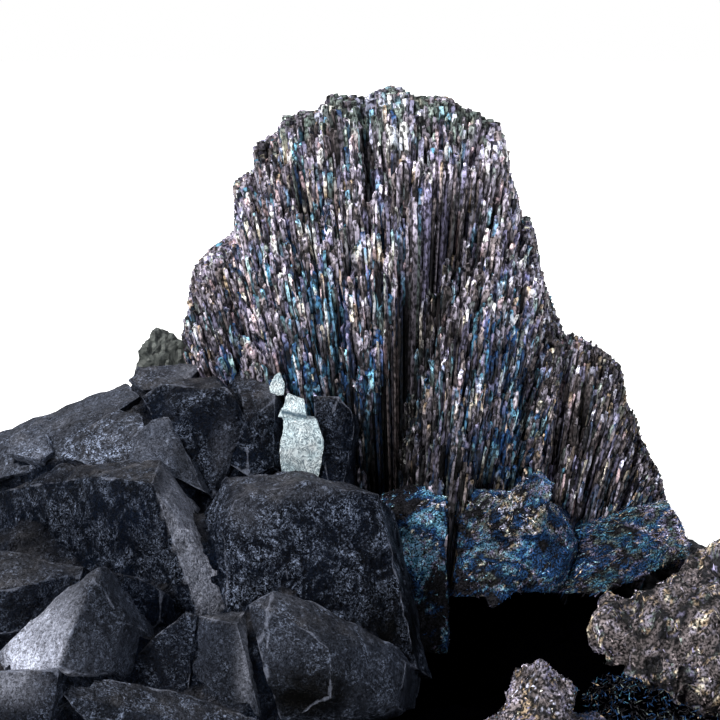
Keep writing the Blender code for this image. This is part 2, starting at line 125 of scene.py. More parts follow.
window("key_window", (-0.55, -0.62, 0.60), 3.6, 20, (1.0, 0.98, 0.95))
window("side_window", (0.80, -0.35, 0.35), 0.45, 40, (0.85, 0.92, 1.0))
window("top_window", (0.10, 0.35, 0.90), 0.9, 35, (0.95, 0.97, 1.0))

# The surroundings: white to the camera, a dim bluish fill to everything else.
world = bpy.data.worlds.new("studio")
bpy.context.scene.world = world
world.use_nodes = True
sky = world.node_tree
seen_sky = node(sky, "Background", Color=(1, 1, 1, 1), Strength=1.0)
lit_sky = node(sky, "Background", Color=(0.93, 0.96, 1.0, 1), Strength=0.22)
path = node(sky, "LightPath")
both = node(sky, "MixShader", Fac=path.outputs["Is Camera Ray"], in1=lit_sky.outputs[0],
            in2=seen_sky.outputs[0])
sky.links.new(both.outputs[0], sky.nodes["World Output"].inputs["Surface"])

# White paper, lit to pure white where the camera sees it, so that no shadow shows on it.
floor_mesh = bpy.data.meshes.new("floor")
floor_mesh.from_pydata([(side * FLOOR_HALF, front * FLOOR_HALF, 0)
                        for side, front in ((-1, -1), (1, -1), (1, 1), (-1, 1))],
                       [], [(0, 1, 2, 3)])
floor = bpy.data.objects.new("floor", floor_mesh)
bpy.context.scene.collection.objects.link(floor)
paper, tree, shader = new_material("white_paper")
feed(tree, shader, Base_Color=(*linear(PAPER), 1), Roughness=0.9, Emission_Color=(1, 1, 1, 1),
     Emission_Strength=node(tree, "LightPath").outputs["Is Camera Ray"])
floor_mesh.materials.append(paper)

# ---------------------------------------------------------------------------------------------
# Matrix: the dark broken rock that everything grows on, sawn flat underneath. Its solid is
# remeshed evenly and its surface is pushed in and out by noise, so it breaks into ledges and
# grains.
# The last colour is painted shade: near black, for the hollows and between the grains.
ROCK_BLACK, ROCK_GREY, ROCK_PAINTED_SHADE = "#101013", "#7d7b84", "#010102"
ROCK_PATCHES, ROCK_GRIT = 420.0, 520.0     # noise cells to the metre: 2.4 and 1.9 mm wide
ROCK_VOXEL = 0.85                          # mm between the points of its surface
ROCK_BREAK = (9.0, 1.0, 2.4, 3)            # ledge width and height, grain width in mm, and seed
BEHIND_LEDGE = 2.6                         # mm that the rock behind the ledge's tip is worn down
WORN_FROM = (35, 8)                        # x and z in mm where that wear starts
SAWN = 0.3                                 # mm above the foot where the broken surface starts
# Hollows painted black as shade: middle (x, y), half-widths in mm, and strength.
SHADED_HOLLOWS = (((14, -22), (19, 19), 1.6), ((-14, -44), (14, 9), 1.4), ((34, -36), (8, 14), 1.4))
# Multipliers that scatter a whole-number place into a value that looks random.
CORNER_HASH = np.array((12.9898, 78.233, 37.719))
CRUMB_HASH = np.array((127.1, 311.7, 74.7))
SCATTER = 43758.5453


def lattice(points, size, seed):
    """Smooth noise from -1 to 1: a random value at every corner of a lattice of the given cell
    size, blended with a smooth step between the eight corners around each point."""
    cell = points / size + seed * 7.13
    low = np.floor(cell)
    part = cell - low
    part = part * part * (3 - 2 * part)
    total = np.zeros(len(points))
    for corner in np.ndindex(2, 2, 2):
        value = np.sin((low + corner) @ CORNER_HASH + seed * 3.7) * SCATTER
        value = 2 * (value - np.floor(value)) - 1
        total += value * np.prod(np.where(corner, part, 1 - part), axis=1)
    return total


def fractal(points, size, seed, octaves=4):
    """Lattice noise summed over octaves, each half as large and half as strong."""
    return sum(lattice(points, size / 2 ** k, seed + k) / 2 ** k for k in range(octaves))


def crumbs(points, size, seed):
    """Grains: each point's distance to the nearest of the jittered cell centres, over the size,
    and that cell's own random value from 0 to 1."""
    cell = points / size
    low = np.floor(cell)
    best = np.full(len(points), 9.0)
    own = np.zeros(len(points))
    for corner in np.ndindex(3, 3, 3):
        base = low + np.array(corner) - 1
        turn = base @ CRUMB_HASH + seed
        jitter = np.stack([np.sin(turn * share) * SCATTER for share in (1.0, 1.37, 1.91)], axis=1)
        jitter -= np.floor(jitter)
        gap = np.linalg.norm(base + jitter - cell, axis=1)
        nearer = gap < best
        best = np.where(nearer, gap, best)
        own = np.where(nearer, jitter[:, 0], own)
    return best, own


def put_mesh(name, points, faces, material, **fields):
    """Flat-shaded object from arrays: points in mm in the frame, triangles, and one value or
    colour a point for each named field. Triangles are turned outward where the volume that they
    enclose comes out negative."""
    corners = points[faces]
    volume = np.einsum("ij,ij->i", corners[:, 0], np.cross(corners[:, 1], corners[:, 2])).sum()
    if volume < 0:
        faces = faces[:, ::-1]
    mesh = bpy.data.meshes.new(name)
    mesh.vertices.add(len(points))
    mesh.vertices.foreach_set("co", (points * MM).ravel())
    mesh.loops.add(faces.size)
    mesh.loops.foreach_set("vertex_index", faces.ravel())
    mesh.polygons.add(len(faces))
    mesh.polygons.foreach_set("loop_start", np.arange(0, faces.size, 3))
    mesh.update(calc_edges=True)
    mesh.shade_flat()
    for field, values in fields.items():
        if values.ndim == 2:
            made = mesh.attributes.new(field, "FLOAT_COLOR", "POINT")
            made.data.foreach_set("color", np.column_stack([values, np.ones(len(values))]).ravel())
        else:
            made = mesh.attributes.new(field, "FLOAT", "POINT")
            made.data.foreach_set("value", values)
    thing = bpy.data.objects.new(name, mesh)
    bpy.context.scene.collection.objects.link(thing)
    mesh.materials.append(material)
    return thing


def arrays(mesh):
    """Points in mm, normals and triangles of a mesh."""
    points = np.zeros(len(mesh.vertices) * 3)
    mesh.vertices.foreach_get("co", points)
    normals = np.zeros(len(mesh.vertices) * 3)
    mesh.vertex_normals.foreach_get("vector", normals)
    mesh.calc_loop_triangles()
    faces = np.zeros(len(mesh.loop_triangles) * 3, int)
    mesh.loop_triangles.foreach_get("vertices", faces)
    return points.reshape(-1, 3) / MM, normals.reshape(-1, 3), faces.reshape(-1, 3)


def even_copy(node_name, voxel):
    """Arrays of a CAD node's solid, merged and remeshed evenly at a voxel size in mm."""
    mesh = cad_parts[node_name].data.copy()
    shape = bmesh.new()
    shape.from_mesh(mesh)
    bmesh.ops.remove_doubles(shape, verts=shape.verts, dist=0.00001)
    shape.to_mesh(mesh)
    shape.free()
    thing = bpy.data.objects.new("even", mesh)
    bpy.context.scene.collection.objects.link(thing)
    remesh = thing.modifiers.new("even", "REMESH")
    remesh.mode = "VOXEL"
    remesh.voxel_size = voxel * MM
    seen = bpy.context.evaluated_depsgraph_get()
    result = bpy.data.meshes.new_from_object(thing.evaluated_get(seen), depsgraph=seen)
    bpy.data.objects.remove(thing)
    return arrays(result)


def boxed(points):
    """Points held inside the CAD model's box."""
    return np.clip(points, np.array(cad_low) / MM, np.array(cad_high) / MM)


def broken(points, normals, size, ledge, grain, seed, stretch=(1, 1, 1)):
    """Broken surface: each point moves along its normal by fractal noise of the ledges' width
    and height, plus grains rounded like crumbs, and not at all on the sawn foot. A stretch under
    1 draws the pattern out along that axis. Returns the points, each one's distance to the middle
    of its grain, and that grain's own random value."""
    drawn = points * np.array(stretch)
    broad = fractal(drawn, size, seed) * ledge
    warp = 0.3 * fractal(drawn, grain * 1.4, seed + 9, 2)[:, None]
    gap, own = crumbs(drawn + warp, grain, seed)
    push = broad + (0.62 - gap) * grain * 0.55 + (own - 0.5) * grain * 0.35
    push *= np.clip((points[:, 2] - SAWN) / 1.5, 0, 1)
    return boxed(points + normals * push[:, None]), gap, own


# Broken dark rock: rough and nearly matt, grey in patches on its grains, and painted near black
# as shade between its grains and in its hollows, where it has no gloss at all.
rock, tree, shader = new_material("broken_dark_rock")
place = node(tree, "TexCoord").outputs["Object"]
patches = node(tree, "TexNoise", Vector=place, Scale=ROCK_PATCHES, Detail=8.0, Roughness=0.75)
shade = node(tree, "ValToRGB", Fac=patches.outputs["Fac"])
for stop, colour, level in zip(shade.color_ramp.elements, (ROCK_BLACK, ROCK_GREY), (0.44, 0.66)):
    stop.color, stop.position = (*linear(colour), 1), level
fine = node(tree, "TexNoise", Vector=place, Scale=ROCK_GRIT, Detail=10.0, Roughness=0.72)
bump = node(tree, "Bump", Height=fine.outputs["Fac"], Strength=1.0, Distance=0.0016)
shade_and_tone = node(tree, "Attribute", {"attribute_name": "soot"}).outputs["Fac"]
sooted = node(tree, "MixRGB", Fac=shade_and_tone, Color1=shade.outputs["Color"],
              Color2=(*linear(ROCK_PAINTED_SHADE), 1))
shine = node(tree, "MapRange", Value=shade_and_tone, To_Min=0.5, To_Max=0.0)
feed(tree, shader, Base_Color=sooted.outputs["Color"], Specular_IOR_Level=shine.outputs[0],
     Normal=bump.outputs["Normal"], Roughness=0.6)
points, normals, rock_faces = even_copy("matrix", ROCK_VOXEL)
rock_points, gap, own = broken(points, normals, *ROCK_BREAK)
x, y, z = (rock_points - SHIFT).T
rock_points[:, 2] -= (BEHIND_LEDGE * np.clip((x - WORN_FROM[0]) / 4, 0, 1)
                      * np.clip((z - WORN_FROM[1]) / 5, 0, 1))
# Painted shade: black between the grains and in the hollows, plus each grain's own random darkness.
soot = 2.0 * np.clip(gap - 0.45, 0, 0.5) + 0.45 * own
for (side, front), (wide, deep), strength in SHADED_HOLLOWS:
    soot += strength * np.exp(-((x - side) / wide) ** 4 - ((y - front) / deep) ** 4)
matrix = put_mesh("matrix_rock", rock_points, rock_faces, rock, soot=np.clip(soot, 0, 1))
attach(matrix, "root")
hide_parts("matrix")

# ---------------------------------------------------------------------------------------------
# Tall spray: thousands of slim metallic columns about half a millimetre wide. They radiate from
# a pole far below and end in ragged tips at every height, under a peacock tarnish.
TALL_POLE = np.array((5.4, -31.4))         # x and z that its columns radiate from, mm
TALL_FOOT, TALL_START = 46.0, 54.0         # radii where columns start, and faces to round off
# Its outline seen from the front: angle from upright in degrees, and radius from the pole in mm.
TALL_RIM = [(-21.0, 79), (-19.4, 82.8), (-18.2, 86), (-16.4, 88), (-13.7, 89.6), (-12.8, 95.6),
            (-11.1, 97), (-10.8, 99.8), (-9.0, 100.8), (-8.5, 102.6), (-7.0, 103), (-6.2, 102.8),
            (-4.9, 104.7), (-3.8, 104.4), (-2.7, 103.8), (-1.5, 104.6), (-0.7, 105.1), (1.2, 104.1),
            (3.0, 104), (5.2, 102.6), (6.8, 101.4), (7.5, 99), (8.2, 95), (9.2, 92), (9.7, 90),
            (10.4, 90), (11.2, 88), (12.0, 84.5), (13.4, 81), (15.9, 76.5)]
TALL_RIDGE_Y = 8.0                         # depth at which the rim lies, mm
TALL_FRONT, TALL_BACK = 16.5, 18.5         # how far the faces stand out from there, mm
TALL_SEED, RIGHT_SEED = 71, 73             # of the furrows
TALL_STEP = 0.32                           # degrees between columns
TALL_ROWS = ((-16.0, 10.0, 0.45), (10.0, 28.0, 0.95))      # depths and mm between rows
TALL_LAYERS = (("front", -20, 0), ("middle", 0, 10), ("back", 10, 30))     # pieces by depth, mm
SEEN = 6.0                                 # mm of a column that shows above its neighbours
SPLINTERS = 2900                           # short columns that end on the front face
SPLINTER_SEEN = 2.4                        # mm of one that shows
SPLINTER_LOW = 59.0                        # the lowest radius at which one ends
SPLINTER_SHARE, SPLINTER_LIGHT = 0.3, 1.9  # share crowded in the low middle, and how much brighter
SPLINTER_ANGLE = (-1.8, 2.0)               # their middle and their spread, degrees
SPLINTER_HIGH = 77                         # the highest radius at which one of those ends
# The valley between the lobes: its line is upright up to a radius, and slants for a length.
VALLEY_BEND, VALLEY_LENGTH = 62.0, 27.0    # mm
VALLEY_ANGLE, VALLEY_SLANT = -1.5, 5.4     # degrees below the bend, and added above it
VALLEY_HALF, VALLEY_DEPTH = 2.6, 5.5       # half-width in degrees, and depth in mm
BUTTRESS_ANGLE, BUTTRESS_HALF = 5.8, 3.6   # middle and half-width of the right lobe's bulge
BUTTRESS_TOP, BUTTRESS_DEPTH = 84.0, 6.0   # radius where it fades, and how far it stands out
BACK_GROOVES = ((-6, 1.6, 2.5), (5, 1.4, 2.0))   # angle, half-width in degrees, depth in mm
FURROW_REACH = 80                          # radius in mm at which the furrows' width is true
FURROW_STRETCH = 4                         # how many times they are drawn out along the columns
FURROW_DEPTH = 2.0                         # mm that the furrows between bundles cut in
COLUMN_SIDES = 4
# A column's five rings from foot to tip: how far below the tip, as a share of the part that
# shows, width, brightness as painted shade (dark at the foot, where its neighbours hide it, and
# a little at the tip), and share of the tip's tint. The foot's own radius is given.
RING_DROP = np.array((1.0, 1.0, 0.45, 0.15, 0.0))
RING_WIDTH = np.array((0.9, 1.0, 1.0, 1.0, 0.76))
RING_PAINTED_SHADE = np.array((0.12, 0.28, 0.88, 1.05, 0.78))
RING_BLEND = np.array((0.0, 0.0, 0.3, 0.7, 1.0))
GLOW = 1.5                                 # how bright the metal's own tone is
# Pale chips on the face, brightened as painted highlights, and the slit at its foot, painted
# dark as shade: middle (x, z) and half-widths in mm.
TALL_CHIPS_AND_GLINTS = (((4.6, 73), (1.2, 1.2)), ((-1.0, 70), (1.4, 1.0)), ((4.5, 69.5), (1.4, 1.4)),
              ((-21.5, 44.5), (1.3, 1.5)))
SHADED_SLIT = ((11.2, 24), (1.6, 6))
# The tarnish, by the colours that lie in it side by side. The dark colour also stands for painted
# shade in gaps and hollows and at the feet.
PALETTE = {"mauve": "#7b7682", "pink": "#a68f92", "cream": "#dcd3c0", "violet": "#66637a",
           "teal": "#3c6478", "deep": "#1a3558", "sky": "#93b9c8", "dark_and_shade": "#15151a",
           "moss": "#5b6461", "brown": "#5b5456", "lilac": "#b4b6cc", "tan": "#8d7c68",
           "steel": "#5d829c"}


def rim(outline, angle):
    """Radius of a spray's outline at an angle, straight between its points."""
    angles, radii = zip(*outline)
    return np.interp(angle, angles, radii)


def dome(foot, high, radius):
    """How far a face stands out from the ridge: 1 at the foot, rounding off to 0 at the rim, as
    (1 - rise ** 1.5) ** 0.45 of the rise between them."""
    rise = np.clip((radius - foot) / (high - foot), 0, 1)
    return (1 - rise ** 1.5) ** 0.45


def furrows(angle, radius, seed):
    """How far a front face is cut in, from 0 to 1: the upper half of a noise that is drawn out
    along the columns, with a finer one on top."""
    place = np.stack([np.radians(angle) * FURROW_REACH + 0 * radius,
                      radius / FURROW_STRETCH + 0 * angle, 0 * angle * radius], axis=-1)
    wave = sum(share * lattice(place.reshape(-1, 3), size, seed)
               for size, share in ((1.7, 1.1), (0.8, 0.7)))
    return np.clip(wave.reshape(place.shape[:-1]), 0, 1)


def valley(angle, radius):
    """How deep in the tall spray's valley a place is, from 0 to 1: a bell curve on each side of
    its line, fading out past its upper end."""
    along = (radius - VALLEY_BEND) / VALLEY_LENGTH
    line = VALLEY_ANGLE + VALLEY_SLANT * np.clip(along, 0, 1.15)
    return np.clip((1.25 - along) / 0.3, 0, 1) * np.exp(-((angle - line) / VALLEY_HALF) ** 2)


def tall_front(angle, radius):
    """Depth of the front face: a dome, less the valley and the furrows, plus the buttress."""
    face = TALL_RIDGE_Y - TALL_FRONT * dome(TALL_START, rim(TALL_RIM, angle), radius)
    face = face + VALLEY_DEPTH * valley(angle, radius)
    bump = np.exp(-((angle - BUTTRESS_ANGLE) / BUTTRESS_HALF) ** 2)
    face = face - BUTTRESS_DEPTH * bump * np.clip((BUTTRESS_TOP - radius) / 7 + 0.5, 0, 1)
    return face + FURROW_DEPTH * furrows(angle, radius, TALL_SEED)


def tall_back(angle, radius):
    """Depth of the back face: a dome with two broad grooves."""
    face = TALL_RIDGE_Y + TALL_BACK * dome(TALL_START, rim(TALL_RIM, angle), radius)
    for middle, half, deep in BACK_GROOVES:
        face = face - deep * np.exp(-((angle - middle) / half) ** 2)
    return face


def scattered(outline, spans, step, rng):
    """Angles and depths of a spray's columns: a grid with its places shaken by half a step. Each
    span is a range of depths and the distance between its rows."""
    rows = np.concatenate([np.arange(*span) for span in spans])
    apart = np.concatenate([np.full(len(np.arange(*span)), span[2]) for span in spans])
    lines = np.arange(outline[0][0], outline[-1][0], step)
    depth, angle = [grid.ravel() for grid in np.meshgrid(rows, lines, indexing="ij")]
    angle = angle + rng.uniform(-0.5, 0.5, len(angle)) * step
    return angle, depth + rng.uniform(-0.5, 0.5, len(depth)) * np.repeat(apart, len(lines))


def column_heights(angle, depth, outline, foot, front, back):
    """The greatest radius at which each column still lies between the front and back faces, by
    trying a whole row of radii at once; nan where there is none."""
    radii = np.linspace(foot, max(radius for _, radius in outline), 200)[None, :]
    held = (front(angle[:, None], radii) <= depth[:, None])
    held &= depth[:, None] <= back(angle[:, None], radii)
    held &= radii <= rim(outline, angle)[:, None]
    return np.where(held.any(axis=1), np.where(held, radii, 0).max(axis=1), np.nan)


def bundle_chance(across, depth, pitch, rng):
    """A chance from 0 to 1 for each column that it shares with its bundle: that of the nearest of
    the bundle centres, which lie at random about one pitch apart."""
    span = np.array((np.ptp(across), np.ptp(depth)))
    start = np.array((across.min(), depth.min()))
    centres = start + rng.random((int(span.prod() / pitch ** 2), 2)) * span
    gaps = (across[:, None] - centres[:, 0]) ** 2 + (depth[:, None] - centres[:, 1]) ** 2
    return rng.random(len(centres))[gaps.argmin(axis=1)]


def columns(pole, angle, depth, top, foot, wide, deep, seen, slope, rng):
    """Columns that radiate from a pole, as one array of points (column, ring, side, 3). Every
    ring is an uneven polygon across the column's axis; rings lie at the foot, below the part
    that is seen, and up to a shrunken tip slanting by about the slope, and stray by chance."""
    count, rings, sides = len(angle), len(RING_DROP), COLUMN_SIDES
    drop = RING_DROP * seen * rng.uniform(0.8, 1.2, (count, rings))
    radius = top[:, None] - drop
    radius[:, 0] = foot
    swell = RING_WIDTH * rng.uniform(0.72, 1.24, (count, rings)) * (radius / top[:, None]) ** 0.5
    around = rng.uniform(0, 2 * np.pi, (count, 1)) + 2 * np.pi * np.arange(sides) / sides
    around = around + rng.uniform(-0.35, 0.35, (count, sides))
    aside = np.cos(around)[:, None, :] * (wide[:, None] * swell)[:, :, None]
    away = np.sin(around)[:, None, :] * (deep[:, None] * swell)[:, :, None]
    aside = aside + rng.normal(0, 0.07, (count, rings, 1))
    away = away + rng.normal(0, 0.08, (count, rings, 1))
    slant = slope[:, None, None] * (rng.normal(0, 1, (count, 1, 2)) + (0, 0.6))
    lift = np.zeros((count, rings, sides))
    lift[:, -2:] = aside[:, -2:] * slant[..., :1] + away[:, -2:] * slant[..., 1:]
    lean = np.radians(angle)[:, None, None]
    length = radius[:, :, None] + lift
    return np.stack([pole[0] + length * np.sin(lean) + aside * np.cos(lean),
                     depth[:, None, None] + away,
                     pole[1] + length * np.cos(lean) - aside * np.sin(lean)], axis=-1)


def ring_faces(count):
    """Triangles of many closed ringed columns: two for each wall patch and a fan on each end."""
    rings, sides = len(RING_DROP), COLUMN_SIDES
    ring, side = np.meshgrid(np.arange(rings - 1), np.arange(sides), indexing="ij")
    here = (ring * sides + side).ravel()
    beside = (ring * sides + (side + 1) % sides).ravel()
    walls = np.vstack([np.stack([here, beside, beside + sides], 1),
                       np.stack([here, beside + sides, here + sides], 1)])
    fan = np.arange(1, sides - 1)
    under = np.stack([0 * fan, fan + 1, fan], 1)
    over = np.stack([0 * fan, fan, fan + 1], 1) + (rings - 1) * sides
    one = np.vstack([walls, under, over])
    return (one[None] + (np.arange(count) * rings * sides)[:, None, None]).reshape(-1, 3)


def pick_colours(weights, chance):
    """A palette colour for each chance from 0 to 1, by the weights of the named colours there,
    each one number for all or one for each place."""
    share = np.cumsum(np.stack([np.broadcast_to(weight, len(chance))
                                for weight in weights.values()], axis=1), axis=1)
    chosen = (chance[:, None] > share / share[:, -1:]).sum(axis=1)
    return np.array([linear(PALETTE[name]) for name in weights])[chosen]


def spot(x, z, centre, size):
    """A soft round patch: 1 at its centre, falling off as a bell curve."""
    return np.exp(-((x - centre[0]) / size[0]) ** 2 - ((z - centre[1]) / size[1]) ** 2)


def column_colours(weights, points, glow, rng):
    """Point colours: a column takes its tint from a slow wave of noise, so that neighbours go
    through the palette in order, or by its own chance; it shifts to its tip's tint over the top
    rings, is lit or dulled by its bundle and by chance, and is darkened towards its foot as
    painted shade."""
    count, rings, sides = points.shape[:3]
    wave = 1.2 * fractal(points[:, -1, 0], 4.5, 61, 3) + rng.normal(0, 0.10, count)
    bundle = 0.5 * fractal(points[:, -1, 0] * (1, 1, 0.3), 1.5, 67, 2)[:, None, None]
    own = rng.random(count) < 0.15
    chance = np.where(own, rng.random(count), wave - np.floor(wave))
    tint = pick_colours(weights, chance)[:, None, :]
    tip = pick_colours(weights, np.where(own, rng.random(count), (chance + 0.12) % 1))[:, None, :]
    # The rings' painted shade, and their blend to the tip's tint.
    shade, blend = RING_PAINTED_SHADE[:, None], RING_BLEND[:, None]
    spread = bundle + rng.normal(0, 0.24, (count, 1, 1)) + rng.normal(0, 0.25, (count, rings, 1))
    glow = GLOW * np.broadcast_to(glow, count)[:, None, None] * np.exp(spread)
    ringed = np.clip((tint * (1 - blend) + tip * blend) * shade * glow, 0, 0.95)
    return np.repeat(ringed[:, :, None, :], sides, axis=2).reshape(-1, 3)


def tinted_metal(name, metallic, roughness, grain, stretch, strength, mottle, gloss):
    """Metal coloured by the "tarnish" field, multiplied by noise between the two mottle values
    and roughened by it; the grain is in mm, drawn out along Z by the stretch."""
    material, tree, shader = new_material(name)
    place = node(tree, "TexCoord").outputs["Object"]
    colour = node(tree, "Attribute", {"attribute_name": "tarnish"}).outputs["Color"]
    drawn = node(tree, "Mapping", Vector=place, Scale=(1.0, 1.0, 1 / stretch))
    noise = node(tree, "TexNoise", Vector=drawn.outputs["Vector"], Scale=1000 / grain, Detail=3.0)
    level = node(tree, "MapRange", Value=noise.outputs["Fac"], From_Min=0.41, From_Max=0.59,
                 To_Min=mottle[0], To_Max=mottle[1])
    mottled = node(tree, "VectorMath", {"operation": "SCALE"}, in0=colour, Scale=level.outputs[0])
    relief = node(tree, "Bump", Height=noise.outputs["Fac"], Strength=strength, Distance=0.0002)
    feed(tree, shader, Base_Color=mottled.outputs[0], Normal=relief.outputs["Normal"],
         Metallic=metallic, Roughness=roughness, Specular_IOR_Level=gloss)
    return material


# Tarnished sulphide metal: a half-metallic satin under a film of colour, with dark and bright
# flecks along the columns. The flecks are drawn 0.4 mm wide, coarser than real, so that they show.
tarnish = tinted_metal("tarnished_metal_columns", metallic=0.45, roughness=0.42, grain=0.4,
                       stretch=1.5, strength=0.7, mottle=(0.15, 1.95), gloss=0.5)
rng = np.random.default_rng(11)
angle, depth = scattered(TALL_RIM, TALL_ROWS, TALL_STEP, rng)
# A column's height is read at a depth that strays, most in the middle, so no rows of tips show.
steep = np.exp(-((angle - 1.5) / 4.0) ** 2)
stray = rng.uniform(-0.7, 0.7, len(depth)) * (1 + 1.2 * steep)
top = column_heights(angle, depth + stray, TALL_RIM, TALL_START, tall_front, tall_back)
kept = top > TALL_START + 1.5
angle, depth, top = angle[kept], depth[kept], top[kept]
# Bundle by bundle and one by one the columns are shortened, least of all at the rim.
inside = np.clip((rim(TALL_RIM, angle) - top) / 8, 0.1, 1)
crowned = np.clip(1 - (rim(TALL_RIM, angle) - top) / 4, 0, 1)
top = top - 2.8 * bundle_chance(np.radians(angle) * 85, depth, 1.6, rng) * np.maximum(inside, 0.2)
top = top - 1.8 * inside * rng.random(len(top)) ** 1.3
swollen = 1 + 0.7 * crowned
width = np.radians(TALL_STEP) * top * rng.uniform(0.38, 0.62, len(top)) * swollen
points = columns(TALL_POLE, angle, depth, top, TALL_FOOT, width,
                 rng.uniform(0.24, 0.42, len(top)) * swollen, SEEN, 0.5 - 0.4 * crowned, rng)
# Splinters: short columns that end on the front face.
main_angle, main_top = angle, top
angle = rng.uniform(TALL_RIM[0][0] + 0.4, TALL_RIM[-1][0] - 0.4, SPLINTERS)
top = rng.uniform(SPLINTER_LOW, rim(TALL_RIM, angle) - 2.5)
low = rng.random(SPLINTERS) < SPLINTER_SHARE
angle = np.where(low, rng.normal(*SPLINTER_ANGLE, SPLINTERS), angle)
top = np.where(low, rng.uniform(SPLINTER_LOW - 3, SPLINTER_HIGH, SPLINTERS), top)
near_depth = tall_front(angle, top) - rng.uniform(-0.1, 0.45, SPLINTERS)
splinters = columns(TALL_POLE, angle, near_depth, top, top - rng.uniform(2.5, 6.0, SPLINTERS),
                    rng.uniform(0.18, 0.34, SPLINTERS), rng.uniform(0.2, 0.36, SPLINTERS),
                    SPLINTER_SEEN, np.full(SPLINTERS, 0.5), rng)
points = np.concatenate([points, splinters])
depth = np.concatenate([depth, near_depth])
# How far a tip lies in a furrow or in the valley, where it is darkened as painted shade.
recess_shade = np.concatenate(
    [share * (furrows(turned, reach, TALL_SEED) + 2.3 * valley(turned, reach))
     for turned, reach, share in ((main_angle, main_top, 1.0), (angle, top, 0.5))])
x, z = points[:, -1, 0, 0], points[:, -1, 0, 2]
# The face's regions: middle (x, z) and half-widths in mm. Each has its own mix of the palette.
left = spot(x, z, (-14, 58), (12, 16))
middle = spot(x, z, (-3, 46), (9, 14))
low_right = spot(x, z, (18, 30), (9, 10))
right = spot(x, z, (15, 56), (9, 14))
low_left = spot(x, z, (-3, 38), (8, 7))
shaded_low_middle = spot(x, z, (3, 31), (7, 8))
furrow = spot(x, z, (17.0, 41), (3.0, 9)) + spot(x, z, (18.5, 29), (4.0, 8))
crown = np.clip((z - 67) / 4, 0, 1)
# Pale chips on the face: lilac and sky tints, brightened below as painted highlights.
chips_and_glints = sum(spot(x, z, *chip) for chip in TALL_CHIPS_AND_GLINTS)
# The low middle takes the dark colour as painted shade.
weights = {"dark_and_shade": 0.45 + 0.4 * middle + 1.0 * low_left + 2.0 * shaded_low_middle,
           "brown": 0.5 + 0.5 * right + 0.3 * low_right,
           "mauve": 1.0 + 0.9 * left + 0.6 * right, "pink": 0.06 + 0.3 * left + 0.1 * right,
           "cream": 0.03 + 0.15 * left + 0.2 * middle, "tan": 0.08 + 0.35 * low_right,
           "moss": 0.25 + 2.0 * crown + 0.4 * low_right,
           "lilac": 0.12 + 0.3 * crown + 0.2 * right + 2.5 * chips_and_glints,
           "sky": 0.02 + 0.15 * middle + 0.1 * furrow + 0.1 * low_left + 0.8 * chips_and_glints,
           "steel": 0.02 + 0.3 * middle + 0.3 * furrow + 0.5 * low_left,
           "teal": 0.02 + 0.7 * middle + 1.0 * furrow + 0.9 * low_left,
           "deep": 0.02 + 0.8 * middle + 0.5 * low_right + 2.2 * furrow + 2.2 * low_left,
           "violet": 0.4 + 0.5 * right}
# Painted shade darkens the low middle, at the foot of the valley.
glow = 1 - 0.75 * np.clip(shaded_low_middle * 1.3, 0, 1) - 0.3 * low_right - 0.45 * crown
# Brighter on the chips, as painted highlights.
glow = glow * (1 - 0.25 * low_left) * (1 + 0.9 * np.clip(chips_and_glints, 0, 1)) * (1 + 0.2 * right)
glow = glow * (1.25 + 0.35 * np.clip((z - 46) / 8, 0, 1))
# Painted shade in the furrows and the valley, and in the slit at the foot.
glow = glow * (1 - 0.82 * np.clip(recess_shade, 0, 1) * (depth < TALL_RIDGE_Y))
glow = glow * (1 - 0.92 * spot(x, z, *SHADED_SLIT))
glow[len(main_angle):] *= np.where(low, SPLINTER_LIGHT, 1.0)
colours = column_colours(weights, points, glow, rng).reshape(len(points), -1, 3)
for name, near, far in TALL_LAYERS:
    layer = (depth >= near) & (depth < far)
    part = boxed(points[layer].reshape(-1, 3) + SHIFT)
    tall = put_mesh("tall_spray_" + name, part, ring_faces(layer.sum()), tarnish,
                    tarnish=colours[layer].reshape(-1, 3))
    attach(tall, "root")
    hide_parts("tall_spray")

# ---------------------------------------------------------------------------------------------
# Right spray: a smaller sheaf of the same columns, leaning to the right, duller and browner,
# with a few tan and cream chips near its rim.
# Its values have the same meanings as the tall spray's.
RIGHT_POLE = np.array((19.0, -16.0))
RIGHT_RIM = [(1.5, 61.3), (4.7, 61.3), (6.7, 59.4), (10.8, 58.5), (14.8, 56.7), (16.8, 52.3),
             (19.2, 50.7), (21.4, 47.9), (25.9, 45.2), (28.3, 43.1), (29.7, 41.1)]
RIGHT_RIDGE_Y = 4.0
RIGHT_FRONT, RIGHT_BACK = 11.0, 12.0
RIGHT_FOOT, RIGHT_START = 29.5, 33.0       # radii where columns start, and faces to round off
RIGHT_STEP = 0.52                          # degrees between columns
RIGHT_ROWS = ((-7.0, 5.0, 0.45), (5.0, 16.5, 0.62))
RIGHT_GROOVES = ((7, 1.1, 3.0), (20, 1.0, 2.0))  # angle, half-width in degrees, depth in mm


def right_front(angle, radius):
    """Depth of the right spray's front face: a dome, less two narrow grooves and the furrows."""
    face = RIGHT_RIDGE_Y - RIGHT_FRONT * dome(RIGHT_START, rim(RIGHT_RIM, angle), radius)
    for middle, half, deep in RIGHT_GROOVES:
        face = face + deep * np.exp(-((angle - middle) / half) ** 2)
    return face + FURROW_DEPTH * furrows(angle, radius, RIGHT_SEED)


def right_back(angle, radius):
    """Depth of the right spray's back face: a plain dome."""
    return RIGHT_RIDGE_Y + RIGHT_BACK * dome(RIGHT_START, rim(RIGHT_RIM, angle), radius)


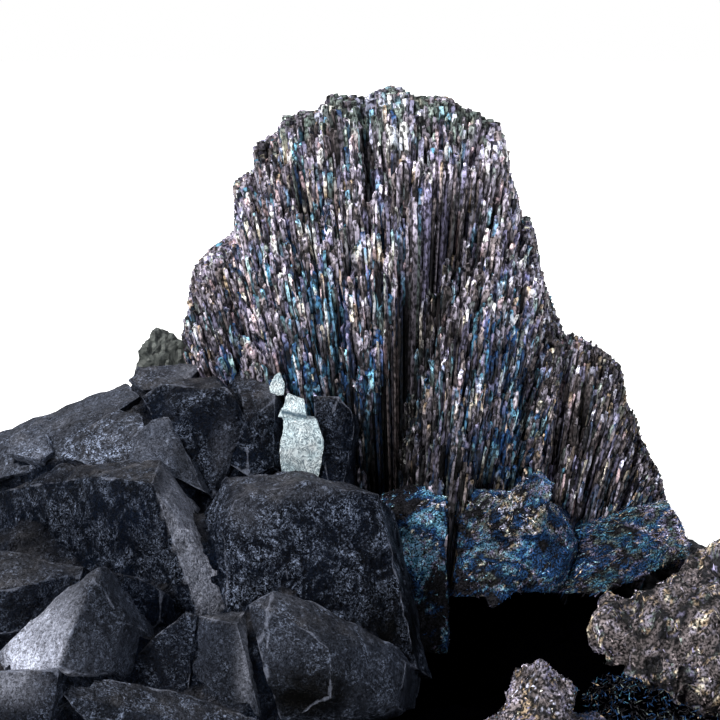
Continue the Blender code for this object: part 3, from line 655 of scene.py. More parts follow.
rng = np.random.default_rng(12)
angle, depth = scattered(RIGHT_RIM, RIGHT_ROWS, RIGHT_STEP, rng)
top = column_heights(angle, depth, RIGHT_RIM, RIGHT_START, right_front, right_back)
kept = top > RIGHT_START + 2
angle, depth, top = angle[kept], depth[kept], top[kept]
inside = np.clip((rim(RIGHT_RIM, angle) - top) / 6, 0.1, 1)
top = top - 2.4 * bundle_chance(np.radians(angle) * 50, depth, 1.6, rng) * np.maximum(inside, 0.3)
top = top - 1.8 * inside * rng.random(len(top)) ** 1.3
width = np.radians(RIGHT_STEP) * top * rng.uniform(0.4, 0.66, len(top))
points = columns(RIGHT_POLE, angle, depth, top, RIGHT_FOOT, width,
                 rng.uniform(0.24, 0.42, len(top)), SEEN, np.full(len(top), 0.45), rng)
x, z = points[:, -1, 0, 0], points[:, -1, 0, 2]
chips_and_glints = spot(x, z, (32.5, 37.5), (3, 3)) + 0.6 * spot(x, z, (36.5, 30), (2, 3))
low = np.clip((28 - z) / 6, 0, 1)
weights = {"dark_and_shade": 0.6, "brown": 0.8, "mauve": 0.7, "pink": 0.06,
           "cream": 0.03 + 0.3 * chips_and_glints, "tan": 0.12 + 1.2 * chips_and_glints, "moss": 0.15 + 0.3 * chips_and_glints,
           "lilac": 0.15 + 0.1 * low, "teal": 0.03 + 0.3 * low, "deep": 0.05 + 0.7 * low,
           "violet": 0.5 + 0.3 * low}
shaded = furrows(angle, top, RIGHT_SEED) * (depth < RIGHT_RIDGE_Y)
colours = column_colours(weights, points, 0.72 * (1 - 0.6 * shaded), rng)
right = put_mesh("right_spray_columns", boxed(points.reshape(-1, 3) + SHIFT),
                 ring_faces(len(top)), tarnish, tarnish=colours)
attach(right, "root")
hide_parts("right_spray")

# ---------------------------------------------------------------------------------------------
# Blue crust: blocks of tightly felted needles between the tablets and the ledge, tarnished navy
# to teal, with tan patches where the tarnish has worn off. The needles are tiny metal splinters.
NEEDLE_POINTS = 4                          # three round the base and one at the tip
CRUST_PATCH = 3.0                          # mm across a patch of one colour
# Places on the blocks: middle (x, z) and half-widths in mm.
BLUE_TAN, BLUE_CORNER = ((19.5, 26.0), (4.2, 3.5)), ((8.6, 25.2), (2.0, 1.6))
BLUE_PALE = (((6.0, 22.5), (4.5, 2.2)), ((15.5, 19.0), (3.0, 3.0)))
# The slit and the gaps are painted dark as shade.
BLUE_SHADED_SLIT = ((11.8, 22), (0.9, 5))
BLUE_SHADED_GAPS = (((4.3, 26), (1.8, 1.2)), ((12.6, 24.2), (1.0, 0.7)), ((13.2, 15.6), (2.2, 1.5)))


def needles(points, faces, count, length, width, lift, rng, along=None):
    """Slim three-sided splinters scattered evenly over a surface. Each lies in the surface, or
    near a given direction, and rises from it by up to the lift; its width falls to a point."""
    corners = points[faces]
    cross = np.cross(corners[:, 1] - corners[:, 0], corners[:, 2] - corners[:, 0])
    area = np.linalg.norm(cross, axis=1)
    chosen = rng.choice(len(faces), count, p=area / area.sum())
    share = rng.dirichlet((1, 1, 1), count)
    root = (corners[chosen] * share[:, :, None]).sum(axis=1)
    normal = cross[chosen] / area[chosen, None]
    heading = rng.normal(size=(count, 3))
    if along is not None:
        heading = 0.35 * heading + np.array(along) * rng.choice((-1, 1), (count, 1))
    heading -= normal * (heading * normal).sum(axis=1, keepdims=True)
    heading /= np.linalg.norm(heading, axis=1, keepdims=True) + 1e-9
    heading = heading + normal * rng.uniform(0, lift, (count, 1))
    heading /= np.linalg.norm(heading, axis=1, keepdims=True)
    first = np.cross(heading, normal)
    first /= np.linalg.norm(first, axis=1, keepdims=True) + 1e-9
    second = np.cross(heading, first)
    reach = length * rng.uniform(0.5, 1.5, count)[:, None] * np.array((-0.35, 1.0))
    thick = width * rng.uniform(0.7, 1.5, count)[:, None, None]
    around = rng.uniform(0, 2 * np.pi, (count, 1)) + 2 * np.pi * np.arange(3) / 3
    ring = np.cos(around)[:, :, None] * first[:, None]
    ring = ring + np.sin(around)[:, :, None] * second[:, None]
    spine = root[:, None] + heading[:, None] * reach[:, :, None]
    return np.concatenate([spine[:, :1] + ring * thick, spine[:, 1:]], axis=1)


def needle_faces(count):
    """Triangles of many splinters: the base and the three sides that meet at the tip."""
    one = np.array(((0, 2, 1), (0, 1, 3), (1, 2, 3), (2, 0, 3)))
    return (one[None] + NEEDLE_POINTS * np.arange(count)[:, None, None]).reshape(-1, 3)


def patchy(points, stray):
    """A chance from 0 to 1 for each point that changes slowly from place to place, plus its own
    stray, so that a palette lies in patches."""
    wave = 0.9 * fractal(points, CRUST_PATCH, 61, 3) + stray
    return wave - np.floor(wave)


def broad_light(points, seed):
    """A slow factor round 1 that lights some parts of a crust and dulls others: the power of
    smooth noise."""
    return np.exp(0.75 * fractal(points, 2.6, seed + 4, 2))


def felted(name, node_name, material, colouring, seed, voxel, relief, felt,
           stretch=(1, 1, 1), along=None, raised=None):
    """Relief is the ledges' width and height and the grains' width; felt is the splinters'
    count, length, width and lift, and along their direction; colouring turns places into the
    weights of the palette, and raised into how far they are raised."""
    rng = np.random.default_rng(seed)
    points, normals, faces = even_copy(node_name, voxel)
    if raised is not None:
        points[:, 2] += raised(*(points - SHIFT).T)
    points, gap, own = broken(points, normals, *relief, seed, stretch)
    # Painted shade: darker in the cracks between the grains.
    crack_and_shade = (np.clip(1.3 - gap, 0.1, 1.0) * broad_light(points, seed))[:, None]
    x, y, z = (points - SHIFT).T
    colours = pick_colours(colouring(x, y, z), patchy(points, 0.3 * own)) * crack_and_shade
    spikes = needles(points, faces, *felt, rng, along)
    x, y, z = (spikes[:, 0] - SHIFT).T
    chance = patchy(spikes[:, 0], rng.normal(0.15, 0.15, len(spikes)))
    tint = pick_colours(colouring(x, y, z), chance)
    lit = 1.2 * broad_light(spikes[:, 0], seed) * np.exp(rng.normal(0, 0.4, len(spikes)))
    tint = np.clip(tint * lit[:, None], 0, 0.95)
    every = np.vstack([points, boxed(spikes.reshape(-1, 3))])
    tarnish = np.vstack([colours, np.repeat(tint, NEEDLE_POINTS, axis=0)])
    made = put_mesh(name, every, np.vstack([faces, needle_faces(len(spikes)) + len(points)]),
                    material, tarnish=tarnish)
    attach(made, "root")
    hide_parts(node_name)


def blue_weights(x, y, z):
    """Navy and teal, paler on the left block, tan and grey on two worn patches, and painted shade:
    dark at the foot, in the slit between the blocks and in the gaps."""
    worn = spot(x, z, *BLUE_TAN) + 0.8 * spot(x, z, *BLUE_CORNER)
    near = np.clip((10.8 - x) / 1.0, 0, 1)
    pale = sum(spot(x, z, *place) for place in BLUE_PALE)
    # Painted shade: dark at the foot, in the slit and in the gaps.
    foot = np.clip((16 + 3 * near - z) / 4, 0, 1) + 2 * spot(x, z, *BLUE_SHADED_SLIT)
    foot += 5 * sum(spot(x, z, *place) for place in BLUE_SHADED_GAPS)
    return {"dark_and_shade": 1.0 - 0.7 * near + (3.0 + 4.0 * near) * foot,
            "deep": 1.9 - 1.4 * np.clip(worn, 0, 1),
            "teal": 0.2 + 0.6 * pale + 0.5 * near, "steel": 0.08 + 0.5 * pale + 0.5 * near,
            "sky": 0.01 + 0.08 * pale + 0.1 * near, "violet": 0.3 + 0.3 * worn,
            "moss": 0.15 + 1.1 * worn + 0.3 * pale, "tan": 0.02 + 0.35 * worn,
            "lilac": 0.01 + 0.45 * worn, "cream": 0.01 + 0.08 * worn}


# Felted blue tarnish: fine metal needles that scatter the light, so the crust is nearly matt
# with a sparkle of dark and bright points.
felt_metal = tinted_metal("felted_blue_tarnish", metallic=0.2, roughness=0.5, grain=0.20,
                          stretch=1.0, strength=0.9, mottle=(0.1, 2.6), gloss=0.15)
felted("blue_crust_felt", "blue_crust", felt_metal, blue_weights, seed=21,
       voxel=0.3, relief=(6.0, 0.25, 0.45), felt=(16000, 0.36, 0.05, 0.25))

# ---------------------------------------------------------------------------------------------
# Ledge: a bundle of the same needles that lies on its side and points to the right, striated
# along its length, teal and navy and greyer at its tip.
LEDGE_ALONG = np.array((0.88, 0.38, 0.28))       # the direction of its needles


def ledge_weights(x, y, z):
    """Navy and teal with grey-green, greyer and more violet towards the tip."""
    tip = np.clip((x - 33) / 6, 0, 1)
    return {"deep": 1.2 - 0.6 * tip, "teal": 0.6 - 0.3 * tip, "moss": 0.4 + 0.4 * tip,
            "dark_and_shade": 1.2 - 0.4 * tip, "violet": 0.2 + 0.6 * tip, "tan": 0.05 + 0.2 * tip,
            "sky": 0.02, "lilac": 0.02 + 0.12 * tip}


felted("ledge_needles", "ledge_bundle", felt_metal, ledge_weights, seed=22,
       voxel=0.36, relief=(7.0, 0.3, 0.6), felt=(10000, 0.8, 0.06, 0.15),
       stretch=(0.35, 1.0, 1.0), along=LEDGE_ALONG)

# ---------------------------------------------------------------------------------------------
# Brown crust: crumbly grey-violet and tan grains at the right, hanging down in ragged teeth over
# the dark hollow, with splinters that all lie down to the right.
BROWN_FALL = np.array((0.45, -0.2, -0.87))       # the direction of its splinters


def brown_weights(x, y, z):
    """Greys and browns with tan and cream grains, paler to the lower right, partly as painted
    highlights, with black pits of painted shade where a fine noise is high."""
    # Paler to the lower right, partly painted highlight; pits painted black as shade.
    pale = np.clip((x - 36) / 12, 0, 1) * np.clip((17 - z) / 6, 0.2, 1)
    shaded_pits = np.clip(fractal(np.stack([x, y, 0.6 * z], axis=1), 1.6, 83, 2) - 0.5, 0, 1)
    return {"dark_and_shade": 0.9 - 0.7 * pale + 12 * shaded_pits, "brown": 1.4, "mauve": 0.5,
            "cream": 0.05 + 0.6 * pale, "tan": 0.25 + 0.7 * pale, "moss": 0.15, "violet": 0.2}


# Granular brown crust: weathered mineral grains, dry and matt, with pale and black crumbs.
crust_metal = tinted_metal("granular_brown_crust", metallic=0.1, roughness=0.62, grain=0.32,
                           stretch=1.0, strength=1.0, mottle=(0.05, 2.0), gloss=0.3)
felted("brown_crust_grains", "brown_crust", crust_metal, brown_weights, seed=23,
       voxel=0.4, relief=(4.0, 1.6, 1.4), felt=(4000, 0.6, 0.12, 0.1),
       stretch=(1.0, 1.0, 0.6), along=BROWN_FALL)

# ---------------------------------------------------------------------------------------------
# Front crust: a lump of fine mauve-grey grains with a small peak, navy on its right flank. It is
# made like the brown crust and grows on the rock near the front.
FRONT_PEAK_X, FRONT_RISE = 19.1, 1.3       # where the peak is, and how far it is raised, mm


def front_weights(x, y, z):
    """Mauve-grey grains, navy on the right flank."""
    flank = np.clip((x - 22.5) / 2.5, 0, 1)
    return {"mauve": 1.0 - 0.9 * flank, "brown": 0.9 - 0.7 * flank, "lilac": 0.12 - 0.1 * flank,
            "dark_and_shade": 0.5 + 0.7 * flank, "tan": 0.25 - 0.2 * flank, "violet": 0.5,
            "deep": 0.01 + 2.2 * flank, "teal": 0.01 + 0.4 * flank}


def front_peak(x, y, z):
    """How far the lump is raised to a peak and lowered beside it, in mm, above its foot."""
    peak = np.clip(FRONT_RISE - 0.5 * np.abs(x - FRONT_PEAK_X), -1.6, FRONT_RISE)
    return peak * np.clip((z - 7) / 5, 0, 1)


felted("front_crust_grains", "front_crust", crust_metal, front_weights, seed=24,
       voxel=0.3, relief=(5.0, 0.6, 0.8), felt=(4000, 0.3, 0.11, 0.3), raised=front_peak)

# ---------------------------------------------------------------------------------------------
# Matrix again: blue-black needles that speckle the rock between the two crusts. They sit on the
# matrix where it dips between them.
FLANK = ((33.0, -37.0, 6.0), (8.0, 10.0, 9.0))          # middle and half sizes, mm
middle = rock_points[rock_faces].mean(axis=1) - SHIFT
near = (np.abs(middle - FLANK[0]) < FLANK[1]).all(axis=1)
rng = np.random.default_rng(25)
spikes = needles(rock_points, rock_faces[near], count=6000, length=0.5, width=0.09, lift=0.9,
                 rng=rng)
chance = rng.random(len(spikes))
tint = pick_colours({"deep": 1.0, "teal": 0.2, "dark_and_shade": 2.6, "moss": 0.2, "tan": 0.06}, chance)
tint = np.repeat(np.clip(tint, 0, 0.9), NEEDLE_POINTS, axis=0)
flank = put_mesh("matrix_needles", boxed(spikes.reshape(-1, 3)), needle_faces(len(spikes)),
                 felt_metal, tarnish=tint)
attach(flank, "root")
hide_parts("matrix")

# ---------------------------------------------------------------------------------------------
# Tablets: dark cleaved crystals grown together. Each is a convex solid with flat faces, chipped
# edges worn pale and painted with highlights, and faint growth terraces; they spring from a common
# root.
TABLETS = {                                # corners of one side, and the shift to the other's
    "broad_left": ([
        (-46, -8, 25), (-30.5, -21, 31), (-22.5, -28.5, 32.5), (-21.5, -29.5, 27),
        (-21, -30.5, 22.5), (-17.5, -32, 19), (-13.5, -30, 17), (-13, -28, 19),
        (-20.5, -23.5, 30), (-35, -14, 30.5), (-22.5, -21.5, 33), (-46, -10, 16),
        (-21.5, -31, 13), (-43.5, -14, 6)], (3, 12, -6)),
    "broad_right": ([
        (-13.5, -29, 30.5), (-11.5, -29, 31.5), (-6, -28, 32.5), (2, -25, 30),
        (2.5, -25, 27.5), (4.5, -27, 17), (6.5, -29, 11), (-14, -32, 12), (-15, -29.5, 27),
        (-13, -31.5, 20.5), (-18, -24, 27), (-15, -23, 31.5), (-9, -30.5, 30.5),
        (-7.5, -33.5, 21.5), (-7.5, -23.5, 32.5), (-0.5, -21.5, 30)], (2, 9, -5)),
    "low_centre": ([
        (-11.5, -38, 22), (-9, -37.5, 23.5), (-5.5, -36.5, 22), (-2, -35.5, 19.5),
        (3.5, -34, 16), (5, -34, 14), (-9.5, -41, 22.5), (-5, -41.5, 20.5),
        (-3, -42, 18.5), (4, -38, 10.5), (2, -39, 10), (-3, -43, 14), (-9.5, -43, 16),
        (-10.5, -41.5, 19), (-8, -42, 10.5)], (2, 11, -6)),
    "upright_blade": ([
        (-17, -38, 21), (-12.5, -42, 21.5), (-11, -43.5, 16), (-10, -44, 12),
        (-17.5, -41, 14.5), (-17.5, -42, 10), (-12, -37, 21), (-11, -38.5, 19)
        ], (1, 9, -5)),
    "left_triangle": ([
        (-25.5, -42, 16), (-20.5, -40, 20), (-18, -38.5, 21.5), (-17, -38.5, 21),
        (-17.5, -41.5, 15), (-17.5, -42, 12.5), (-25.5, -43, 13)], (2, 9, -6)),
    "pyramid": ([
        (-26.5, -40, 27), (-28.5, -40.5, 26), (-34.5, -43, 21), (-37, -43, 18.5),
        (-35, -46, 16.5), (-27, -43.5, 26.5), (-28.5, -48, 22.5), (-29.5, -49.5, 20),
        (-26, -43, 26), (-23.5, -43, 22), (-25, -46, 17.5), (-28, -49, 19)], (4, 11, -7)),
    "wedge": ([
        (-41, -29, 25.5), (-39, -30, 25.5), (-29.5, -33, 24.5), (-29.5, -34, 24),
        (-36, -37, 23.5), (-39, -37, 23), (-31.5, -36, 19), (-39, -38, 18.5)], (3, 10, -6)),
    "dark_fin": ([
        (-27, -37.5, 26), (-23, -36, 24.5), (-21, -35, 22.5), (-21, -36, 19.5),
        (-24.5, -38, 17.5), (-25.5, -40, 14.5), (-26.5, -39.5, 23.5)], (3, 10, -7)),
    "front_strip": ([
        (-29.5, -47, 18), (-24.5, -46, 17), (-18.5, -45, 15.5), (-10.5, -45, 12.5),
        (-11.5, -47, 11.5), (-27, -50, 15), (-29, -49.5, 17)], (1, 9, -6)),
    "foot_block": ([
        (-37, -47, 18.5), (-34, -49, 18), (-29.5, -49, 19.5), (-29.5, -50.5, 18),
        (-30, -51.5, 15), (-36.5, -50, 14.5)], (3, 11, -5)),
    "rear_block": ([
        (-26.5, -9, 37.5), (-23.5, -9.5, 39), (-16, -11, 39), (-14.5, -12, 37.5),
        (-13.5, -12.5, 35), (-16, -15, 31), (-17, -17, 28), (-23, -14, 34.5),
        (-21, -16, 31), (-18, -19, 23.5), (-21.5, -6, 39), (-17.5, -6, 39.5)], (2, 10, -5)),
    "rear_block_right": ([
        (-14, -10, 37.5), (-10, -9.5, 37.5), (-11.5, -3, 39), (-16, -3, 39.5),
        (-10, -13, 32), (-10, -14, 30), (-13, -15.5, 29.5), (-16, -14.5, 31),
        (-13.5, -13, 35)], (2, 9, -5)),
    "smooth_slope": ([
        (-24.5, -13, 35.5), (-22.5, -13, 36), (-22.5, -14, 34.5), (-21, -16, 32.5),
        (-19, -18.5, 29.5), (-17.5, -19.5, 28.5), (-22, -20, 31), (-26.5, -18, 32),
        (-26.5, -15.5, 34)], (2, 9, -5)),
    "rough_slope": ([
        (-35.5, -14, 31.5), (-33.5, -11, 34), (-29, -9, 36), (-26, -10, 35.5),
        (-25.5, -14.5, 33.5), (-26.5, -17, 31.5), (-31.5, -16, 31)], (2, 9, -6)),
    "left_roof": ([
        (-46.5, -4, 30.5), (-45, -3, 31), (-42.5, -2, 32.5), (-37, -1, 34), (-33.5, 0, 35.5),
        (-29.5, 1, 37), (-27, -5, 36.5), (-30, -8.5, 35), (-36, -8.5, 33.5),
        (-45, -12, 27.5), (-35.5, -13, 30.5)], (2, 10, -7)),
    "pale_patch": ([
        (-42.5, -9.5, 32.5), (-40.5, -8.5, 33.5), (-37.5, -9.5, 33), (-36.5, -12.5, 31.5),
        (-37.5, -14.5, 31), (-41.5, -13, 31.5)], (2, 8, -6)),
    "small_roof": ([
        (-28.5, -3, 38), (-28, 1, 39), (-25, -1, 39), (-22.5, 0, 39), (-19.5, 0, 39.5),
        (-21.5, -6, 38), (-26.5, -6, 37.5)], (1, 8, -6)),
    "shoulder": ([
        (-5.5, -9, 37.5), (-2.5, -10, 37.5), (-1, -10.5, 36), (-0.5, -11, 34.5),
        (-2, -13, 32.5), (-2, -15, 28), (-3.5, -16, 28), (-5, -13.5, 33), (-2.5, -15, 18),
        (-4.5, -16.5, 18.5)], (1, 9, -4)),
    "far_left": ([
        (-57, -8, 22), (-52.5, -12, 25.5), (-48, -20, 24.5), (-48.5, -25, 18),
        (-53.5, -27, 7.5), (-62, -11, 7.5)], (4, 2.5, -2)),
    "far_left_low": ([
        (-57, -25.5, 14), (-51, -28.5, 17), (-46.5, -35.5, 15.5), (-47.5, -40, 10.5),
        (-50.5, -41.5, 5.5), (-61, -29.5, 5.5)], (2.5, 2, -2.5)),
    "left_rear": ([
        (-48.5, 18, 20), (-48, 11.5, 25.5), (-50.5, 0.5, 26.5), (-54.5, -5.5, 21),
        (-60, -4, 9.5), (-53.5, 19, 9.5)], (5.5, -1.5, -2.5)),
    "back_left": ([
        (-24.5, 24, 21), (-30.5, 20, 25.5), (-41.5, 17.5, 24.5), (-48, 19, 19.5),
        (-48.5, 25, 9), (-27, 30.5, 9)], (1, -4, -2.5)),
}
# How pale a crystal is, from 0 to 1, and how thickly it is flecked.
TABLET_LOOKS = {
    "broad_left": (0.04, 0.5), "broad_right": (0.09, 1.0), "low_centre": (0.36, 0.5),
    "upright_blade": (0.34, 0.2), "left_triangle": (0.18, 0.5), "pyramid": (0.34, 0.4),
    "wedge": (0.16, 0.4), "dark_fin": (0.02, 0.3), "front_strip": (0.28, 0.8),
    "foot_block": (0.06, 0.4), "rear_block": (0.0, 0.5), "rear_block_right": (0.08, 0.8),
    "smooth_slope": (0.50, 0.3), "rough_slope": (0.47, 1.8), "left_roof": (0.46, 0.6),
    "pale_patch": (0.62, 1.0), "small_roof": (0.30, 0.8), "shoulder": (0.06, 0.5)}
PLAIN_LOOK = (0.20, 0.8)                   # of the crystals with no look of their own
# Painted highlights and shade: the crystal, then each patch's centre (x, z), half-widths in
# mm, strength (above 0 a pale painted highlight, below 0 black painted shade), and the side its
# facets face: -1 left, 1 right, 0 either.
LIGHT_AND_SHADE_PATCHES = {"pyramid": [((-32.0, 21.0), (4.6, 4.6), 1.0, -1), ((-33.2, 18.8), (2.8, 2.0), 1.2, -1),
                    ((-28.0, 19.0), (3.0, 4.0), 0.06, 1)],
        "broad_left": [((-19.5, 29.0), (3.0, 4.5), 0.60, 1), ((-16.0, 23.0), (3.0, 5.0), 0.85, 1)],
        "broad_right": [((-12.5, 29.5), (2.6, 1.8), 0.10, 0), ((-6.0, 31.5), (5.0, 0.9), 0.12, 0),
                        ((3.0, 14.0), (4.0, 5.0), -0.30, 0)],
        "upright_blade": [((-11.7, 17.5), (0.8, 4.5), 0.35, 0)],
        "low_centre": [((-8.0, 20.0), (2.5, 4.0), 0.06, -1), ((-5.5, 13.5), (3.4, 2.4), -0.6, 0)],
        "small_roof": [((-20.8, 38.6), (2.6, 0.9), 0.30, 0)],
        "rear_block": [((-15.8, 32.5), (1.3, 2.6), 0.14, 0)],
        "rear_block_right": [((-10.6, 38.4), (1.2, 1.6), 0.25, 0)],
        "foot_block": [((-34.0, 18.0), (2.6, 1.6), 0.5, 0)]}
TABLET_PITCH = 0.45                        # half the longest edge of its triangles, mm
FOOT_CLEAR = 3.0                           # mm from the sawn foot to the lowest crystal
CREASE = math.radians(26)                  # two faces meet in an edge above this angle
CHIP = 0.35                                # greatest depth of a chip along an edge, mm
STEP = 0.30                                # greatest height between cleaved patches, mm


def faceted(corners, pitch):
    """The convex solid round the corners, cut until hardly an edge is longer than two pitches:
    its points, normals, triangles, and the two ends of each edge between faces."""
    shape = bmesh.new()
    for corner in corners:
        shape.verts.new(corner)
    bmesh.ops.convex_hull(shape, input=shape.verts)
    loose = [vert for vert in shape.verts if not vert.link_faces]
    bmesh.ops.delete(shape, geom=loose, context="VERTS")
    bmesh.ops.recalc_face_normals(shape, faces=shape.faces)
    creases = np.array([[tuple(vert.co) for vert in edge.verts] for edge in shape.edges
                        if edge.calc_face_angle() > CREASE])
    for _ in range(5):
        long = [edge for edge in shape.edges if edge.calc_length() > 2 * pitch]
        bmesh.ops.subdivide_edges(shape, edges=long, cuts=1)
        bmesh.ops.triangulate(shape, faces=shape.faces[:], quad_method="SHORT_EDGE")
    shape.normal_update()
    shape.verts.index_update()
    points = np.array([tuple(vert.co) for vert in shape.verts])
    normals = np.array([tuple(vert.normal) for vert in shape.verts])
    faces = np.array([[vert.index for vert in face.verts] for face in shape.faces])
    shape.free()
    return points, normals, faces, creases


def edge_distance(points, creases):
    """Distance from each point to the nearest crease: to its line's nearest place between ends."""
    nearest = np.full(len(points), 99.0)
    for start, end in creases:
        along = end - start
        share = np.clip(((points - start) @ along) / (along @ along), 0, 1)
        gap = np.linalg.norm(points - start - share[:, None] * along, axis=1)
        nearest = np.minimum(nearest, gap)
    return nearest


TABLET_DARK, TABLET_PALE = "#040914", "#686e7d"
UPWARD_PALE, PAINTED_HIGHLIGHT = "#2d2c2d", "#9397a6"
FLECK, WORN_EDGE_AND_HIGHLIGHT = "#6f798e", "#555965"
# Noise cells to the metre: clouds 2.4 mm wide, patches of flecks 3 mm, veins 1.2 mm, and specks
# of 0.3 mm, which are drawn coarser than the real ones so that they show.
CLOUDS, FLECK_PATCHES, VEINS, SPECKS = 420.0, 330.0, 850.0, 3000.0
# Dark cleaved crystal: dull black faces with hardly any gloss, flecked and veined with pale
# bluish specks, stepped in faint terraces, and pale along the edges with wear and painted
# highlights.
tablet_metal, tree, shader = new_material("dark_cleaved_crystal")
place = node(tree, "TexCoord").outputs["Object"]
tint = node(tree, "Attribute", {"attribute_name": "tarnish"}).outputs["Color"]
edge = node(tree, "Attribute", {"attribute_name": "edge"}).outputs["Fac"]
flecked = node(tree, "Attribute", {"attribute_name": "flecked"}).outputs["Fac"]
cloud = node(tree, "TexNoise", Vector=place, Scale=CLOUDS, Detail=4.0, Roughness=0.6)
speck = node(tree, "TexNoise", Vector=place, Scale=SPECKS, Detail=2.0, Roughness=0.7,
             Distortion=1.2)
level = node(tree, "MapRange", Value=speck.outputs["Fac"], From_Min=0.36, From_Max=0.66,
             To_Min=0.3, To_Max=1.8)
mottled = node(tree, "VectorMath", {"operation": "SCALE"}, in0=tint, Scale=level.outputs[0])
grain = node(tree, "MapRange", Value=speck.outputs["Fac"], From_Min=0.53, From_Max=0.63)
broad = node(tree, "TexNoise", Vector=place, Scale=FLECK_PATCHES, Detail=5.0, Roughness=0.75,
             Distortion=1.0)
patch = node(tree, "MapRange", Value=broad.outputs["Fac"], From_Min=0.45, From_Max=0.64,
             To_Min=0.0, To_Max=1.7)
veined = node(tree, "TexNoise", Vector=place, Scale=VEINS, Detail=3.0, Roughness=0.6,
              Distortion=1.5)
fold = node(tree, "Math", {"operation": "PINGPONG"}, in0=veined.outputs["Fac"], in1=0.5)
vein = node(tree, "MapRange", Value=fold.outputs[0], From_Min=0.47, From_Max=0.495,
            To_Min=0.0, To_Max=0.5)
amount = node(tree, "Math", {"operation": "ADD"}, in0=grain.outputs[0], in1=vein.outputs[0])
amount = node(tree, "Math", {"operation": "MULTIPLY"}, in0=amount.outputs[0], in1=patch.outputs[0])
amount = node(tree, "Math", {"operation": "MULTIPLY"}, in0=amount.outputs[0], in1=flecked)
flecks = node(tree, "VectorMath", {"operation": "SCALE"}, in0=tuple(linear(FLECK)),
              Scale=amount.outputs[0])
speckled = node(tree, "VectorMath", {"operation": "ADD"}, in0=mottled.outputs[0],
                in1=flecks.outputs[0])
# Pale rims along the edges: wear and painted highlights.
width = node(tree, "MapRange", Value=cloud.outputs["Fac"], From_Min=0.44, From_Max=0.66,
             To_Min=-0.06, To_Max=0.30)
inner = node(tree, "Math", {"operation": "SUBTRACT"}, in0=edge, in1=width.outputs[0])
worn = node(tree, "MapRange", Value=inner.outputs[0], From_Min=-0.12, From_Max=0.05,
            To_Min=1.0, To_Max=0.0)
rim_wear_and_highlight = node(tree, "VectorMath", {"operation": "SCALE"}, in0=tuple(linear(WORN_EDGE_AND_HIGHLIGHT)),
            Scale=worn.outputs[0])
rimmed = node(tree, "VectorMath", {"operation": "ADD"}, in0=speckled.outputs[0],
              in1=rim_wear_and_highlight.outputs[0])
terrace = node(tree, "Math", {"operation": "MULTIPLY_ADD"}, in0=cloud.outputs["Fac"], in1=4.0,
               in2=edge)
terrace = node(tree, "Math", {"operation": "WRAP"}, in0=terrace.outputs[0], in1=2.4, in2=0.0)
step = node(tree, "MapRange", Value=terrace.outputs[0], From_Min=0.0, From_Max=0.14)
height = node(tree, "Math", {"operation": "MULTIPLY_ADD"}, in0=speck.outputs["Fac"], in1=1.6,
              in2=step.outputs[0])
height = node(tree, "Math", {"operation": "MULTIPLY_ADD"}, in0=fold.outputs[0], in1=2.5,
              in2=height.outputs[0])
relief = node(tree, "Bump", Height=height.outputs[0], Strength=0.8, Distance=0.0002)
feed(tree, shader, Base_Color=rimmed.outputs[0], Normal=relief.outputs["Normal"],
     Specular_IOR_Level=0.05, Roughness=0.40)


def tone_colours(tone, points, normals, patches=()):
    """Colour of a tone from 0, dark, to 1, pale: the pale colour counts by the tone's square, slow
    noise varies it, faces that look up are a little paler, and patches of painted highlight lay a
    lilac grey over it or, below 0, painted shade blackens it. Returns the colour and the painted
    highlight and shade."""
    slow = np.exp(0.5 * fractal(points, 4.0, 77, 3))[:, None]
    colour = (linear(TABLET_DARK) + tone ** 2 * linear(TABLET_PALE)) * slow
    # Faces that look up are made a little paler.
    upward = np.clip(3 * (normals[:, 2] - 0.65), 0, 1) * np.exp(fractal(points, 1.5, 78, 3))
    colour = colour + upward[:, None] * linear(UPWARD_PALE)
    highlight_and_shade = np.zeros(len(points))
    streaks = np.exp(0.45 * fractal(points * (1.0, 1.0, 0.35), 1.3, 79, 3))
    # Painted highlights above 0 and painted shade below, on facets facing the given side.
    for centre, size, strength, side in patches:
        facing = np.clip(0.5 + 2.5 * side * normals[:, 0], 0, 1) if side else 1.0
        highlight_and_shade += strength * spot(points[:, 0], points[:, 2], centre, size) * facing * streaks
    colour = colour * np.exp(8 * np.minimum(highlight_and_shade, 0))[:, None]
    return np.clip(colour + np.maximum(highlight_and_shade, 0)[:, None] * linear(PAINTED_HIGHLIGHT), 0, 0.9), highlight_and_shade


